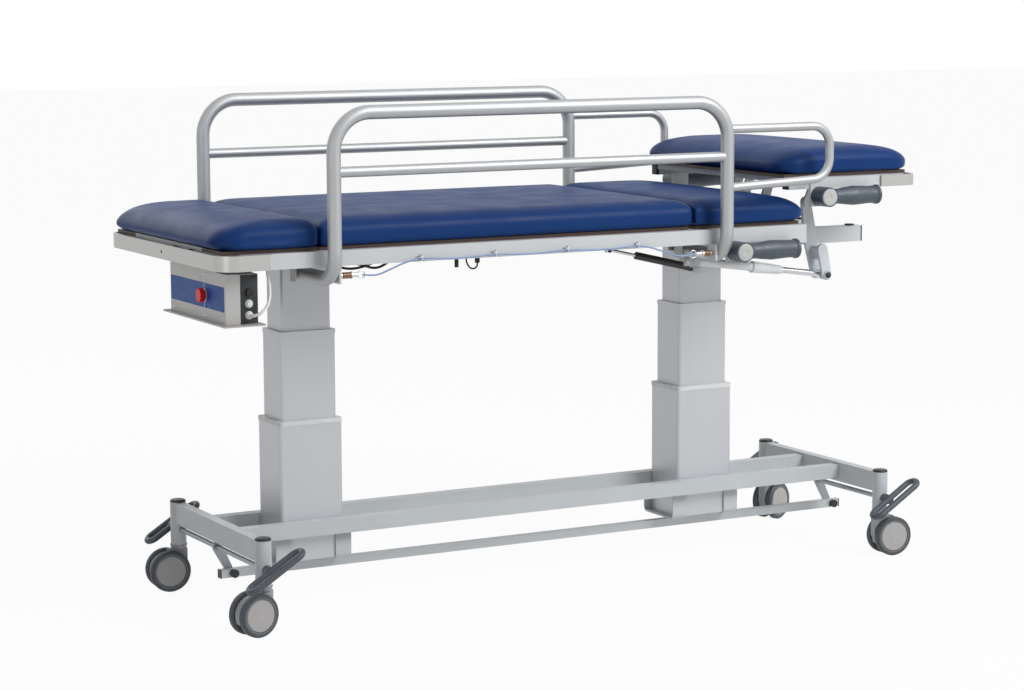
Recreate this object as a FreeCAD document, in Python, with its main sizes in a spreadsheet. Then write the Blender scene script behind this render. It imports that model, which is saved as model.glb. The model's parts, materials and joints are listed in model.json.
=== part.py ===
import FreeCAD, Part
import Sketcher
import math
import os

from FreeCAD import Placement, Rotation, Vector

# Examination table on two telescopic columns, in millimetres, +Z up, feet at the -X end.
# Everything is laid out from the middle of the wheeled base and the floor; each piece's
# placement then moves it by base_shift, so that the whole table is centred on the origin.

SIZES = {
    "base_shift": 36.0,
    # Wheeled base
    "post_reach": 855.6,
    "post_side": 260.0,
    "post_radius": 19.0,
    "post_bore": 14.0,
    "post_bottom": 112.0,
    "post_top": 216.0,
    "end_tube_width": 25.0,
    "end_tube_bottom": 165.0,
    "end_tube_top": 215.0,
    "tube_wall": 2.5,
    "base_rail_inner": 67.0,
    "base_rail_width": 30.0,
    "base_rail_bottom": 174.0,
    "base_rail_top": 209.0,
    "cradle_wall": 5.0,
    "cradle_width": 40.0,
    "cradle_half_gap": 66.0,
    "cradle_bend": 14.0,
    "cap_height": 6.0,
    "cap_plug": 10.0,
    "cap_edge": 1.5,
    "cradle_lap": 3.0,
    # Lifting columns
    "left_column_x": -645.0,
    "right_column_x": 447.4,
    "outer_length": 159.4,
    "outer_width": 131.5,
    "middle_length": 139.9,
    "middle_width": 111.2,
    "inner_length": 125.8,
    "inner_width": 90.2,
    "column_wall": 3.5,
    "column_corner": 8.0,
    "column_floor": 5.0,
    "outer_top": 435.0,
    "middle_bottom": 330.0,
    "middle_top": 645.0,
    "inner_bottom": 528.0,
    "spine_height": 35.0,
    "rim_height": 10.0,
    "rim_proud": 1.5,
    "slide_gap": 0.3,
    "head_plate": 8.0,
    "head_plate_length": 190.0,
    "spindle_radius": 14.0,
    "spindle_top": 480.0,
    # Castors
    "castor_trail": 28.0,
    "wheel_radius": 50.0,
    "wheel_inner": 12.0,
    "wheel_width": 18.0,
    "tread_bevel": 4.0,
    "disc_radius": 37.0,
    "disc_groove": 1.5,
    "disc_dome": 1.5,
    "disc_wall": 3.0,
    "axle_end_gap": 1.0,
    "axle_radius": 6.0,
    "running_gap": 0.05,
    "hood_radius": 44.0,
    "hood_half": 10.0,
    "hood_skirt": 30.0,
    "collar_radius": 21.0,
    "collar_height": 10.0,
    "collar_taper": 3.0,
    "neck_inset": 2.0,
    "stem_top": 128.0,
    "left_near_heading": 191.0,
    "left_far_heading": 174.0,
    "right_near_heading": 354.0,
    "right_far_heading": 23.0,
    # Central brake
    "brake_height": 150.0,
    "brake_shaft": 6.0,
    "crank_y": 9.0,
    "crank_wall": 7.0,
    "crank_hub": 12.0,
    "crank_eye": 9.0,
    "crank_pin": 5.0,
    "crank_reach": 31.0,
    "crank_drop": 62.0,
    "open_pivot_gap": 0.5,
    "crank_cap_radius": 10.0,
    "crank_cap_height": 10.0,
    "link_bar_tail": 30.4,
    "link_bar_nose": 18.4,
    "link_bar_plug": 3.0,
    "link_bar_low_y": -10.0,
    "link_bar_high_y": 8.0,
    "link_bar_height": 20.0,
    "link_bar_wall": 2.0,
    "pedal_inner": 298.0,
    "pedal_outer": 334.0,
    "pedal_rod": 7.5,
    "pedal_length": 150.0,
    "pedal_offset": 7.0,
    "pedal_tilt": 32.0,
    "pedal_boss": 12.0,
    "pedal_boss_lap": 5.0,
    # Top frame
    "side_inner": 317.0,
    "side_outer": 347.0,
    "frame_bottom": 836.0,
    "frame_top": 871.0,
    "frame_left": -930.0,
    "frame_right": 556.0,
    "gusset_length": 56.0,
    "gusset_drop": 10.0,
    "cross_bottom": 843.0,
    "cross_width": 34.0,
    "spine_inner": 35.0,
    "spine_outer": 65.0,
    "left_end_cross_x": -912.0,
    "middle_left_cross_x": -430.0,
    "middle_right_cross_x": 80.0,
    "actuator_cross_x": 352.0,
    "right_end_cross_x": 536.0,
    "stub_inner": 88.0,
    "stub_outer": 128.0,
    "stub_bottom": 796.0,
    "stub_left": 322.0,
    "stub_right": 880.0,
    "stub_wall": 3.0,
    "bolt_head": 4.0,
    "gas_cheek_wall": 3.0,
    "gas_cheek_half": 10.0,
    "drive_cheek_wall": 4.0,
    "drive_cheek_half": 14.0,
    "stub_cap": 4.0,
    "buffer_x": 858.0,
    "buffer_radius": 12.0,
    "buffer_height": 4.0,
    "bumper_wall": 6.0,
    "bumper_left": -984.0,
    "bumper_right": -866.0,
    "bumper_bend": 48.0,
    "bumper_hole": 4.0,
    "board_wall": 8.0,
    "board_inset": 22.0,
    # Pads
    "pad_half": 345.0,
    "pad_top": 942.0,
    "pad_corner": 60.0,
    "pad_roll": 22.0,
    "foot_pad_left": -990.0,
    "foot_pad_right": -738.0,
    "pad_gap": 1.0,
    "back_pad_right": 239.0,
    "seat_pad_left": 241.0,
    "seat_pad_right": 571.0,
    "back_hinge_x": 240.0,
    "back_hinge_z": 871.0,
    "back_angle": 26.0,
    "hinge_gap": 10.0,
    "knuckle_radius": 5.0,
    "knuckle_pin": 2.5,
    "knuckle_length": 30.0,
    "knuckle_leaf": 3.0,
    "hinge_y": 230.0,
    "lean_margin": 10.0,
    # Gas spring
    "gas_y": -100.0,
    "gas_pivot_x": 391.0,
    "gas_pivot_z": 750.0,
    "gas_eye_x": 144.0,
    "gas_eye_z": 808.0,
    "gas_body": 9.5,
    "gas_rod": 4.0,
    "gas_body_length": 175.0,
    "gas_eye_radius": 8.0,
    "gas_pin": 4.0,
    "gas_open_gap": 2.3,
    "gas_eye_half": 6.0,
    "gas_rod_eye_half": 4.0,
    "gas_bore_start": 28.0,
    "gas_rod_start": 80.0,
    "gas_ear_rise": 12.0,
    "gas_ear_foot": 9.0,
    "gas_ear_wall": 4.0,
    "gas_ear_offset": 5.0,
    # Side rails
    "rail_tube": 16.0,
    "rail_y": 380.0,
    "rail_left": -723.7,
    "rail_right": 305.1,
    "rail_top": 1177.0,
    "rail_corner": 87.0,
    "rail_mid": 1047.0,
    "rail_mid_tube": 12.0,
    "rail_foot_bend": 56.0,
    "rail_foot_z": 808.0,
    "rail_foot_end": 168.0,
    "rail_pivot_y": 195.0,
    "rail_pin": 5.0,
    "rail_lug_gap": 1.0,
    "rail_lug_wall": 4.0,
    "rail_lug_half": 15.0,
    "rail_lug_drop": 18.0,
    "rail_lug_weld": 24.0,
    "hand_tube": 10.5,
    "hand_top": 1112.0,
    "hand_low": 972.0,
    "hand_rise": 985.0,
    "hand_reach": 600.5,
    "hand_bend": 50.0,
    # Rail latches and their wires
    "latch_plate_near": 330.0,
    "latch_plate_far": 366.0,
    "latch_plate_wall": 5.0,
    "latch_plate_gap": 1.2,
    "latch_plate_bottom": 798.0,
    "latch_y": 352.0,
    "latch_z": 815.0,
    "latch_bolt": 5.0,
    "latch_nose": 3.5,
    "latch_hole": 5.4,
    "latch_turns": 6,
    "latch_collar": 3.0,
    "latch_ring_wire": 1.2,
    "latch_tip_gap": 0.5,
    "latch_length": 52.0,
    "latch_spring_radius": 6.0,
    "latch_spring_wire": 1.4,
    "latch_collar_radius": 8.0,
    "latch_spring_length": 20.0,
    "latch_travel": 8.0,
    "latch_ring_radius": 9.0,
    "wire_radius": 2.0,
    "wire_y": 355.6,
    "wire_z": 844.0,
    "wire_sag": 1.4,
    "hook_radius": 6.8,
    "hook_wire": 1.5,
    "hook_first_x": -500.0,
    "hook_pitch": 190.0,
    "hook_count": 4,
    "wire_dip": 6.0,
    "wire_lead": 36.0,
    "wire_lead_dip": 4.0,
    # Hand grips
    "grip_x": 347.0,
    "grip_z": 817.0,
    "grip_end": 511.0,
    "grip_radius": 24.0,
    "grip_waist": 19.0,
    "grip_depth": 48.0,
    "grip_pin": 6.0,
    "head_grip_x": 612.0,
    "head_grip_z": 936.0,
    "head_grip_end": 771.0,
    "grip_plate_wall": 4.0,
    "grip_plate_half": 25.0,
    "grip_pin_end": 4.0,
    "grip_bore_end": 3.0,
    # Head section
    "lever_x": 716.0,
    "lever_z": 816.0,
    "arm_spacing": 84.0,
    "ear_dx": -14.0,
    "ear_dz": 89.0,
    "pivot_shaft": 10.0,
    "ear_pin": 6.0,
    "ear_open_gap": 0.6,
    "lever_inner": 130.0,
    "lever_outer": 140.0,
    "front_ear_inner": 141.0,
    "front_ear_outer": 147.0,
    "arm_inner": 76.0,
    "arm_outer": 86.0,
    "rear_ear_inner": 68.0,
    "rear_ear_outer": 74.5,
    "lever_hub": 19.0,
    "lever_tip": 13.0,
    "foot_dx": 19.4,
    "foot_dz": -94.6,
    "foot_pin": 5.0,
    "foot_near_inner": 178.0,
    "foot_near_outer": 186.0,
    "foot_boss": 4.0,
    "foot_cap": 3.0,
    "foot_web_radius": 6.0,
    "foot_web_start": 0.3,
    "foot_web_end": 0.55,
    "hub_step": 3.0,
    "ear_root": 12.0,
    "ear_rise": 8.0,
    "ear_lean": 6.0,
    "head_bar_width": 16.0,
    "head_side_inner": 292.0,
    "head_side_outer": 317.0,
    "head_low": 954.0,
    "head_high": 984.0,
    "head_left": 525.0,
    "head_right": 872.0,
    "head_cross_low": 958.0,
    "head_cross_width": 26.0,
    "head_rear_cross_x": 640.0,
    "head_front_cross_x": 735.0,
    "head_bar_z": 970.0,
    "head_bumper_low": 952.0,
    "head_bumper_high": 980.0,
    "head_bumper_right": 918.0,
    "head_bumper_left": 800.0,
    "head_bumper_bend": 40.0,
    "head_pad_left": 490.0,
    "head_pad_right": 893.0,
    "head_pad_half": 340.0,
    "head_pad_top": 1054.0,
    "head_board_inset": 20.0,
    # Head actuator
    "drive_y": -162.0,
    "drive_x": 345.0,
    "drive_z": 776.0,
    "drive_tube": 11.0,
    "drive_tube_length": 178.0,
    "drive_housing": 15.0,
    "drive_nose": 11.0,
    "drive_length": 266.0,
    "drive_rod": 8.0,
    "drive_eye": 12.5,
    "drive_eye_half": 9.5,
    "drive_pin": 6.0,
    "drive_bore_start": 30.0,
    "drive_rod_start": 150.0,
    # Control box
    "box_front": -950.0,
    "box_bevel": 28.0,
    "box_back": -879.0,
    "box_near": -310.0,
    "box_far": 33.0,
    "box_low": 715.0,
    "box_high": 826.0,
    "panel_low": 741.0,
    "panel_high": 797.0,
    "panel_wall": 1.5,
    "panel_near": -288.0,
    "panel_far": 30.0,
    "knob_y": -172.0,
    "knob_z": 769.0,
    "knob_radius": 16.0,
    "knob_neck": 7.0,
    "knob_depth": 22.0,
    "knob_travel": 4.0,
    "knob_flutes": 10,
    "socket_x": -901.0,
    "socket_radius": 8.0,
    "socket_pitch": 25.5,
    "socket_low": 735.0,
    "socket_reach": 7.0,
    "socket_taper": 2.0,
    "socket_count": 3,
    "shelf_wall": 4.0,
    "shelf_left": -965.0,
    "shelf_right": -867.0,
    "shelf_near": -325.0,
    "shelf_far": 45.0,
    "hanger_wall": 3.0,
    "hanger_near": 270.0,
    "hanger_far": 75.0,
    "cord_radius": 3.5,
    # Junction plate and cables below the frame
    "junction_x": -240.0,
    "junction_half": 52.0,
    "junction_near": -92.0,
    "junction_far": -22.0,
    "junction_height": 28.0,
    "peg_radius": 5.0,
    "peg_drop": 22.0,
    "peg_inset": 24.0,
    "peg_margin": 10.0,
    "lead_plug_radius": 6.0,
    "lead_plug_drop": 14.0,
    "lead_radius": 2.0,
    "cable_radius": 3.0,
}

os.makedirs("parts", exist_ok=True)
doc = FreeCAD.newDocument("examination_table")
sheet = doc.addObject("Spreadsheet::Sheet", "Sizes")
for row, (alias, number) in enumerate(SIZES.items(), start=1):
    sheet.set(f"A{row}", alias)
    sheet.set(f"B{row}", str(number))
    sheet.setAlias(f"B{row}", alias)
doc.recompute()


class Size:
    """A number together with the sheet expression that it comes from."""

    def __init__(self, value, text=None):
        self.value = float(value)
        self.text = text or repr(float(value))

    def __float__(self):
        return self.value

    def combine(self, other, sign, value):
        return Size(value, f"({self.text} {sign} {as_size(other).text})")

    def __add__(self, other):
        return self.combine(other, "+", self.value + float(other))

    def __radd__(self, other):
        return as_size(other) + self

    def __sub__(self, other):
        return self.combine(other, "-", self.value - float(other))

    def __rsub__(self, other):
        return as_size(other) - self

    def __mul__(self, other):
        return self.combine(other, "*", self.value * float(other))

    def __rmul__(self, other):
        return as_size(other) * self

    def __truediv__(self, other):
        return self.combine(other, "/", self.value / float(other))

    def __neg__(self):
        return as_size(0.0) - self


def as_size(number):
    return number if isinstance(number, Size) else Size(number)


class SheetSizes:
    """Gives every cell of the sheet as a Size, by its alias."""

    def __getattr__(self, alias):
        return Size(sheet.get(alias), f"Sizes.{alias}")


S = SheetSizes()
SIDES = (("near", -1), ("far", 1))
TURNS = {
    "x": Rotation(Vector(0, 1, 0), 90),
    "y": Rotation(Vector(1, 0, 0), -90),
    "z": Rotation(),
}
PLANES = {"xy": "XY_Plane", "xz": "XZ_Plane", "yz": "YZ_Plane"}
sub_parts = []


# Helpers: bound values and placements

def bind(item, prop, number):
    """Ties one property to the sheet."""
    item.setExpression(prop, as_size(number).text)


def place(item, corner, rotation=None):
    """Moves an object, with its position tied to the sheet."""
    item.Placement = Placement(Vector(*[float(c) for c in corner]), rotation or Rotation())
    for axis, number in zip("xyz", corner):
        bind(item, f"Placement.Base.{axis}", number)


def keep(item, node, turn=None, corner=(0, 0, 0)):
    """Makes an object a finished sub-part under the node's name, at its place on the table."""
    item.Label = node
    place(item, (corner[0] + S.base_shift, as_size(corner[1]), as_size(corner[2])), turn)
    sub_parts.append(item)
    return item


# Helpers: primitives and booleans

def box(x, y, z):
    """A block between pairs of low and high values."""
    item = doc.addObject("Part::Box", "Block")
    for prop, (low, high) in zip(("Length", "Width", "Height"), (x, y, z)):
        bind(item, prop, as_size(high) - low)
    place(item, (x[0], y[0], z[0]))
    return item


def rod(axis, across, radius, low, high):
    """A round bar along an axis; across holds its two other coordinates in x, y, z order."""
    item = doc.addObject("Part::Cylinder", "Rod")
    bind(item, "Radius", radius)
    bind(item, "Height", as_size(high) - low)
    at = list(across)
    at.insert("xyz".index(axis), low)
    place(item, at, TURNS[axis])
    return item


def cone(axis, across, radius_low, radius_high, low, high):
    """A tapered round bar along an axis."""
    item = doc.addObject("Part::Cone", "Taper")
    bind(item, "Radius1", radius_low)
    bind(item, "Radius2", radius_high)
    bind(item, "Height", as_size(high) - low)
    at = list(across)
    at.insert("xyz".index(axis), low)
    place(item, at, TURNS[axis])
    return item


def fuse(*items):
    item = doc.addObject("Part::MultiFuse", "Joined")
    item.Shapes = list(items)
    item.Refine = True
    return item


def cut(base, *tools):
    item = doc.addObject("Part::Cut", "Cut")
    item.Base = base
    item.Tool = tools[0] if len(tools) == 1 else fuse(*tools)
    return item


def group(*items):
    item = doc.addObject("Part::Compound", "Group")
    item.Links = list(items)
    return item


def mirrored(source, normal=(0, 1, 0)):
    """The same piece on the other side of the table's middle plane."""
    item = doc.addObject("Part::Mirroring", "Mirror")
    item.Source = source
    item.Base = Vector()
    item.Normal = Vector(*normal)
    return item


def on_side(sign, make):
    """Builds a far-side piece as drawn, and a near-side piece as its mirror image."""
    item = make()
    return item if sign > 0 else mirrored(item)


def tube_box(x, y, z, wall, along):
    """A rectangular tube, open at both ends of the named axis."""
    inner = [(as_size(low) + wall, as_size(high) - wall) for low, high in (x, y, z)]
    index = "xyz".index(along)
    inner[index] = (x, y, z)[index]
    return cut(box(x, y, z), box(*inner))


# Helpers: sketched bodies

class Sketched:
    """A PartDesign body drawn as outlines on its origin planes."""

    def __init__(self, name):
        self.body = doc.addObject("PartDesign::Body", name)
        self.name = name

    def sketch(self, plane, offset=0.0, lift=0.0):
        roles = {feature.Role: feature for feature in self.body.Origin.OriginFeatures}
        drawing = self.body.newObject("Sketcher::SketchObject", f"{self.name}_outline")
        drawing.AttachmentSupport = [(roles[PLANES[plane]], "")]
        drawing.MapMode = "FlatFace"
        bind(drawing, "AttachmentOffset.Base.z", offset)
        bind(drawing, "AttachmentOffset.Base.y", lift)
        return drawing

    def pad(self, drawing, length):
        feature = self.body.newObject("PartDesign::Pad", f"{self.name}_pad")
        feature.Profile = drawing
        bind(feature, "Length", length)
        drawing.Visibility = False
        return feature

    def pocket(self, drawing, length):
        feature = self.body.newObject("PartDesign::Pocket", f"{self.name}_pocket")
        feature.Profile = drawing
        bind(feature, "Length", length)
        return feature

    def revolve(self, drawing):
        feature = self.body.newObject("PartDesign::Revolution", f"{self.name}_turned")
        feature.Profile = drawing
        feature.ReferenceAxis = (drawing, ["H_Axis"])
        feature.Angle = 360
        return feature

    def fillet(self, chosen, radius):
        """Rounds the edges of the body so far that the given test picks."""
        doc.recompute()
        last = self.body.Tip
        names = [f"Edge{i + 1}" for i, edge in enumerate(last.Shape.Edges) if chosen(edge)]
        feature = self.body.newObject("PartDesign::Fillet", f"{self.name}_round")
        feature.Base = (last, names)
        bind(feature, "Radius", radius)
        return feature


def polygon(drawing, points):
    """A closed outline of straight lines, each corner pinned to sheet values."""
    corners = [Vector(float(x), float(y), 0) for x, y in points]
    first = drawing.GeometryCount
    count = len(corners)
    for i, corner in enumerate(corners):
        drawing.addGeometry(Part.LineSegment(corner, corners[(i + 1) % count]), False)
    for i in range(count):
        following = first + (i + 1) % count
        drawing.addConstraint(Sketcher.Constraint("Coincident", first + i, 2, following, 1))
    for i, (x, y) in enumerate(points):
        for kind, number in (("DistanceX", x), ("DistanceY", y)):
            rule = Sketcher.Constraint(kind, -1, 1, first + i, 1, float(number))
            index = drawing.addConstraint(rule)
            bind(drawing, f"Constraints[{index}]", number)


def circle(drawing, centre, radius):
    """A circle with its centre and radius tied to sheet values."""
    at = Vector(float(centre[0]), float(centre[1]), 0)
    shape = drawing.addGeometry(Part.Circle(at, Vector(0, 0, 1), float(radius)), False)
    for kind, number in (("DistanceX", centre[0]), ("DistanceY", centre[1])):
        rule = Sketcher.Constraint(kind, -1, 1, shape, 3, float(number))
        bind(drawing, f"Constraints[{drawing.addConstraint(rule)}]", number)
    rule = Sketcher.Constraint("Radius", shape, float(radius))
    bind(drawing, f"Constraints[{drawing.addConstraint(rule)}]", radius)


def rectangle(drawing, x, y):
    polygon(drawing, [(x[0], y[0]), (x[1], y[0]), (x[1], y[1]), (x[0], y[1])])


def along(direction, tolerance=1e-3):
    """A test for straight edges that run along a direction."""
    wanted = Vector(*direction)

    def test(edge):
        if not isinstance(edge.Curve, Part.Line):
            return False
        return abs(abs(edge.tangentAt(edge.FirstParameter).dot(wanted)) - 1) < tolerance
    return test


def plate(name, plane, points, low, high):
    """A flat plate: an outline on an origin plane, thick from low to high along its normal."""
    part = Sketched(name)
    offset = -as_size(high) if plane == "xz" else low
    drawing = part.sketch(plane, offset)
    polygon(drawing, points)
    part.pad(drawing, as_size(high) - low)
    return part


def shape_part(shape, name="Formed"):
    """A piece whose shape is worked out from the sheet in code, with no placement of its own."""
    item = doc.addObject("Part::Feature", name)
    item.Shape = settled(shape)
    return item


def settled(shape):
    """The same shape with its placement worked into its geometry."""
    moved = shape.copy()
    matrix = moved.Placement.Matrix
    moved.Placement = Placement()
    return moved.transformed(matrix, True)


# Helpers: bent tubes, links and cords

def bent_path(points, radii):
    """Straight runs joined by tangent arcs, one radius for each inner corner."""
    corners = [Vector(*[float(c) for c in point]) for point in points]
    edges = []
    start = corners[0]
    for i in range(1, len(corners) - 1):
        before = (corners[i - 1] - corners[i]).normalize()
        after = (corners[i + 1] - corners[i]).normalize()
        half = before.getAngle(after) / 2
        reach = float(radii[i - 1]) / math.tan(half)
        first = corners[i] + before * reach
        last = corners[i] + after * reach
        bisector = (before + after).normalize()
        centre = corners[i] + bisector * (float(radii[i - 1]) / math.sin(half))
        middle = centre - bisector * float(radii[i - 1])
        if first.distanceToPoint(start) > 1e-6:
            edges.append(Part.LineSegment(start, first).toShape())
        edges.append(Part.Arc(first, middle, last).toShape())
        start = last
    if start.distanceToPoint(corners[-1]) > 1e-6:
        edges.append(Part.LineSegment(start, corners[-1]).toShape())
    return Part.Wire(edges)


def swept(path, radius):
    """A round bar along a path of straight runs and arcs."""
    first = path.Edges[0]
    start = first.valueAt(first.FirstParameter)
    direction = first.tangentAt(first.FirstParameter)
    ring = Part.Wire(Part.Circle(start, direction, float(radius)).toShape())
    return path.makePipeShell([ring], True, False)


def bent_tube(points, radii, radius, wall=None):
    """A bent round tube, hollow when a wall is given."""
    path = bent_path(points, radii)
    solid = swept(path, radius)
    if wall is not None:
        solid = solid.cut(swept(path, float(radius) - float(wall)))
    return solid


def round_bar(axis, at, radius, low, high):
    """A round bar as a plain shape, for use inside worked-out pieces."""
    start = [float(at[0]), float(at[1])]
    start.insert("xyz".index(axis), float(low))
    direction = Vector(*[float(axis == name) for name in "xyz"])
    return Part.makeCylinder(float(radius), float(high) - float(low), Vector(*start), direction)


def block(x, y, z):
    """A block as a plain shape, for use inside worked-out pieces."""
    low = Vector(float(x[0]), float(y[0]), float(z[0]))
    size = [float(high) - float(low_value) for low_value, high in (x, y, z)]
    return Part.makeBox(*size, low)


def link(ends, radii, low, high):
    """A flat link between two eyes in an XZ plane, its sides tangent to both."""
    (x1, z1), (x2, z2) = [(float(x), float(z)) for x, z in ends]
    r1, r2 = float(radii[0]), float(radii[1])
    low, high = sorted((float(low), float(high)))
    length = math.hypot(x2 - x1, z2 - z1)
    heading = math.atan2(z2 - z1, x2 - x1)
    lean = math.acos((r1 - r2) / length)
    sides = []
    for sign in (1, -1):
        angle = heading + sign * lean
        across = Vector(math.cos(angle), 0, math.sin(angle))
        sides.append((Vector(x1, low, z1) + across * r1, Vector(x2, low, z2) + across * r2))
    corners = [sides[0][0], sides[0][1], sides[1][1], sides[1][0], sides[0][0]]
    web = Part.Face(Part.makePolygon(corners)).extrude(Vector(0, high - low, 0))
    eyes = [round_bar("y", end, radius, low, high) for end, radius in zip(ends, radii)]
    return web.multiFuse(eyes).removeSplitter()


# Wheeled base

def base_end(sign):
    """One end of the base: a cross tube welded between two corner posts."""
    x = S.post_reach * sign
    half = S.end_tube_width / 2
    tube = tube_box((x - half, x + half), (-S.post_side, S.post_side),
                    (S.end_tube_bottom, S.end_tube_top), S.tube_wall, "y")
    posts = []
    bores = [rod("y", (x, S.brake_height), S.brake_shaft + S.running_gap,
                 -S.post_side - S.post_radius * 2, S.post_side + S.post_radius * 2)]
    for name, side in SIDES:
        at = (x, S.post_side * side)
        posts.append(rod("z", at, S.post_radius, S.post_bottom, S.post_top))
        bores.append(rod("z", at, S.post_bore, S.post_bottom, S.post_top))
    return cut(fuse(tube, *posts), *bores)


keep(base_end(-1), "base_end_left")
keep(base_end(1), "base_end_right")

rail_reach = S.post_reach - S.end_tube_width / 2
base_rail_outer = S.base_rail_inner + S.base_rail_width
base_rail = tube_box((-rail_reach, rail_reach), (S.base_rail_inner, base_rail_outer),
                     (S.base_rail_bottom, S.base_rail_top), S.tube_wall, "x")
keep(group(base_rail, mirrored(base_rail)), "base_rails")


def cradle(x):
    """A strap bent to a U below one edge of a column."""
    outer = S.cradle_half_gap + S.cradle_wall
    low = S.post_bottom - S.cradle_wall
    strap = Sketched("Cradle")
    drawing = strap.sketch("yz", x - S.cradle_width / 2)
    rectangle(drawing, (-outer, outer), (low, S.base_rail_bottom))
    strap.pad(drawing, S.cradle_width)

    def low_edge(edge):
        return along((1, 0, 0))(edge) and edge.CenterOfMass.z < float(low) + 1
    strap.fillet(low_edge, S.cradle_bend)
    gap = S.cradle_half_gap
    hollow = box((x - S.cradle_width, x + S.cradle_width), (-gap, gap), (S.post_bottom, S.base_rail_top))
    return cut(strap.body, hollow)


cradles = []
for column_x in (S.left_column_x, S.right_column_x):
    for sign in (-1, 1):
        cradles.append(cradle(column_x + sign * (S.outer_length / 2 - S.cradle_lap)))
keep(group(*cradles), "column_cradles")


def post_cap(x_sign, side):
    """A domed plug in the top of a corner post."""
    cap = Sketched("PostCap")
    drawing = cap.sketch("xy", S.post_top)
    circle(drawing, (S.post_reach * x_sign, S.post_side * side), S.post_radius)
    cap.pad(drawing, S.cap_height)
    cap.fillet(lambda edge: edge.CenterOfMass.z > float(S.post_top) + 1, S.cap_height - S.cap_edge)
    plug = rod("z", (S.post_reach * x_sign, S.post_side * side), S.post_bore - S.running_gap,
               S.post_top - S.cap_plug, S.post_top)
    return fuse(cap.body, plug)


keep(group(*[post_cap(x, y) for x in (-1, 1) for y in (-1, 1)]), "post_caps")


# Lifting columns

def column_tube(name, x, length, width, low, high, floor=None):
    """A rounded aluminium tube that stands along Z, closed below when a floor is given."""
    tube = Sketched(name)
    drawing = tube.sketch("xy", low)
    rectangle(drawing, (x - length / 2, x + length / 2), (-width / 2, width / 2))
    tube.pad(drawing, high - low)
    tube.fillet(along((0, 0, 1)), S.column_corner)
    wall = S.column_wall
    start = low + floor if floor is not None else low
    hollow = box((x - length / 2 + wall, x + length / 2 - wall),
                 (-width / 2 + wall, width / 2 - wall), (start, high))
    return cut(tube.body, hollow)


def column_rim(name, x, length, width, low, next_length, next_width):
    """The guide ring on top of a tube; its opening guides the next tube."""
    rim = Sketched(name)
    drawing = rim.sketch("xy", low)
    half_x = length / 2 + S.rim_proud
    half_y = width / 2 + S.rim_proud
    rectangle(drawing, (x - half_x, x + half_x), (-half_y, half_y))
    rim.pad(drawing, S.rim_height)
    rim.fillet(along((0, 0, 1)), S.column_corner + S.rim_proud)
    hole = Sketched(name + "_hole")
    drawing = hole.sketch("xy", low - 1)
    half_x = next_length / 2 + S.slide_gap
    half_y = next_width / 2 + S.slide_gap
    rectangle(drawing, (x - half_x, x + half_x), (-half_y, half_y))
    hole.pad(drawing, S.rim_height + 2)
    hole.fillet(along((0, 0, 1)), S.column_corner)
    return cut(rim.body, hole.body)


spine_bottom = S.frame_top - S.spine_height
inner_top = spine_bottom - S.head_plate
rims = []
inners = []
spindles = []
for side, column_x in (("left", S.left_column_x), ("right", S.right_column_x)):
    outer = column_tube(f"{side}_outer", column_x, S.outer_length, S.outer_width,
                        S.post_bottom, S.outer_top, S.column_floor)
    keep(outer, f"{side}_column_outer")
    rims.append(column_rim(f"{side}_rim", column_x, S.outer_length, S.outer_width, S.outer_top,
                           S.middle_length, S.middle_width))
    middle = column_tube(f"{side}_middle", column_x, S.middle_length, S.middle_width,
                         S.middle_bottom, S.middle_top)
    collar = column_rim(f"{side}_middle_rim", column_x, S.middle_length, S.middle_width, S.middle_top,
                        S.inner_length, S.inner_width)
    keep(group(middle, collar), f"{side}_column_middle")
    inner = column_tube(f"{side}_inner", column_x, S.inner_length, S.inner_width,
                        S.inner_bottom, inner_top)
    head = box((column_x - S.head_plate_length / 2, column_x + S.head_plate_length / 2),
               (-S.spine_outer, S.spine_outer), (inner_top, spine_bottom))
    inners.append(fuse(inner, head))
    spindles.append(rod("z", (column_x, 0), S.spindle_radius,
                        S.post_bottom + S.column_floor, S.spindle_top))
keep(group(*rims), "column_outer_rims")
keep(group(*inners), "column_inners")
keep(group(*spindles), "lift_spindles")


# Castors, each drawn with its swivel axis on the origin and its trail along +X

def castor_housing():
    """Hood between the wheels, neck, collar, swivel stem and the wheels' axle."""
    trail = S.castor_trail
    collar_low = S.post_bottom - S.collar_height
    hood = rod("y", (trail, S.wheel_radius), S.hood_radius, -S.hood_half, S.hood_half)
    skirt = box((trail - S.wheel_radius * 2, trail + S.wheel_radius * 2),
                (-S.wheel_radius, S.wheel_radius), (0, S.hood_skirt))
    neck = box((-S.collar_radius + S.neck_inset, trail), (-S.hood_half, S.hood_half),
               (S.wheel_radius, collar_low))
    collar = cone("z", (0, 0), S.collar_radius - S.collar_taper, S.collar_radius, collar_low,
                  S.post_bottom)
    stem = rod("z", (0, 0), S.post_bore - S.running_gap, S.post_bottom, S.stem_top)
    axle_reach = S.wheel_inner + S.wheel_width - S.disc_wall - S.axle_end_gap
    axle = rod("y", (trail, S.wheel_radius), S.axle_radius, -axle_reach, axle_reach)
    return fuse(cut(hood, skirt), neck, collar, stem, axle)


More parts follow.
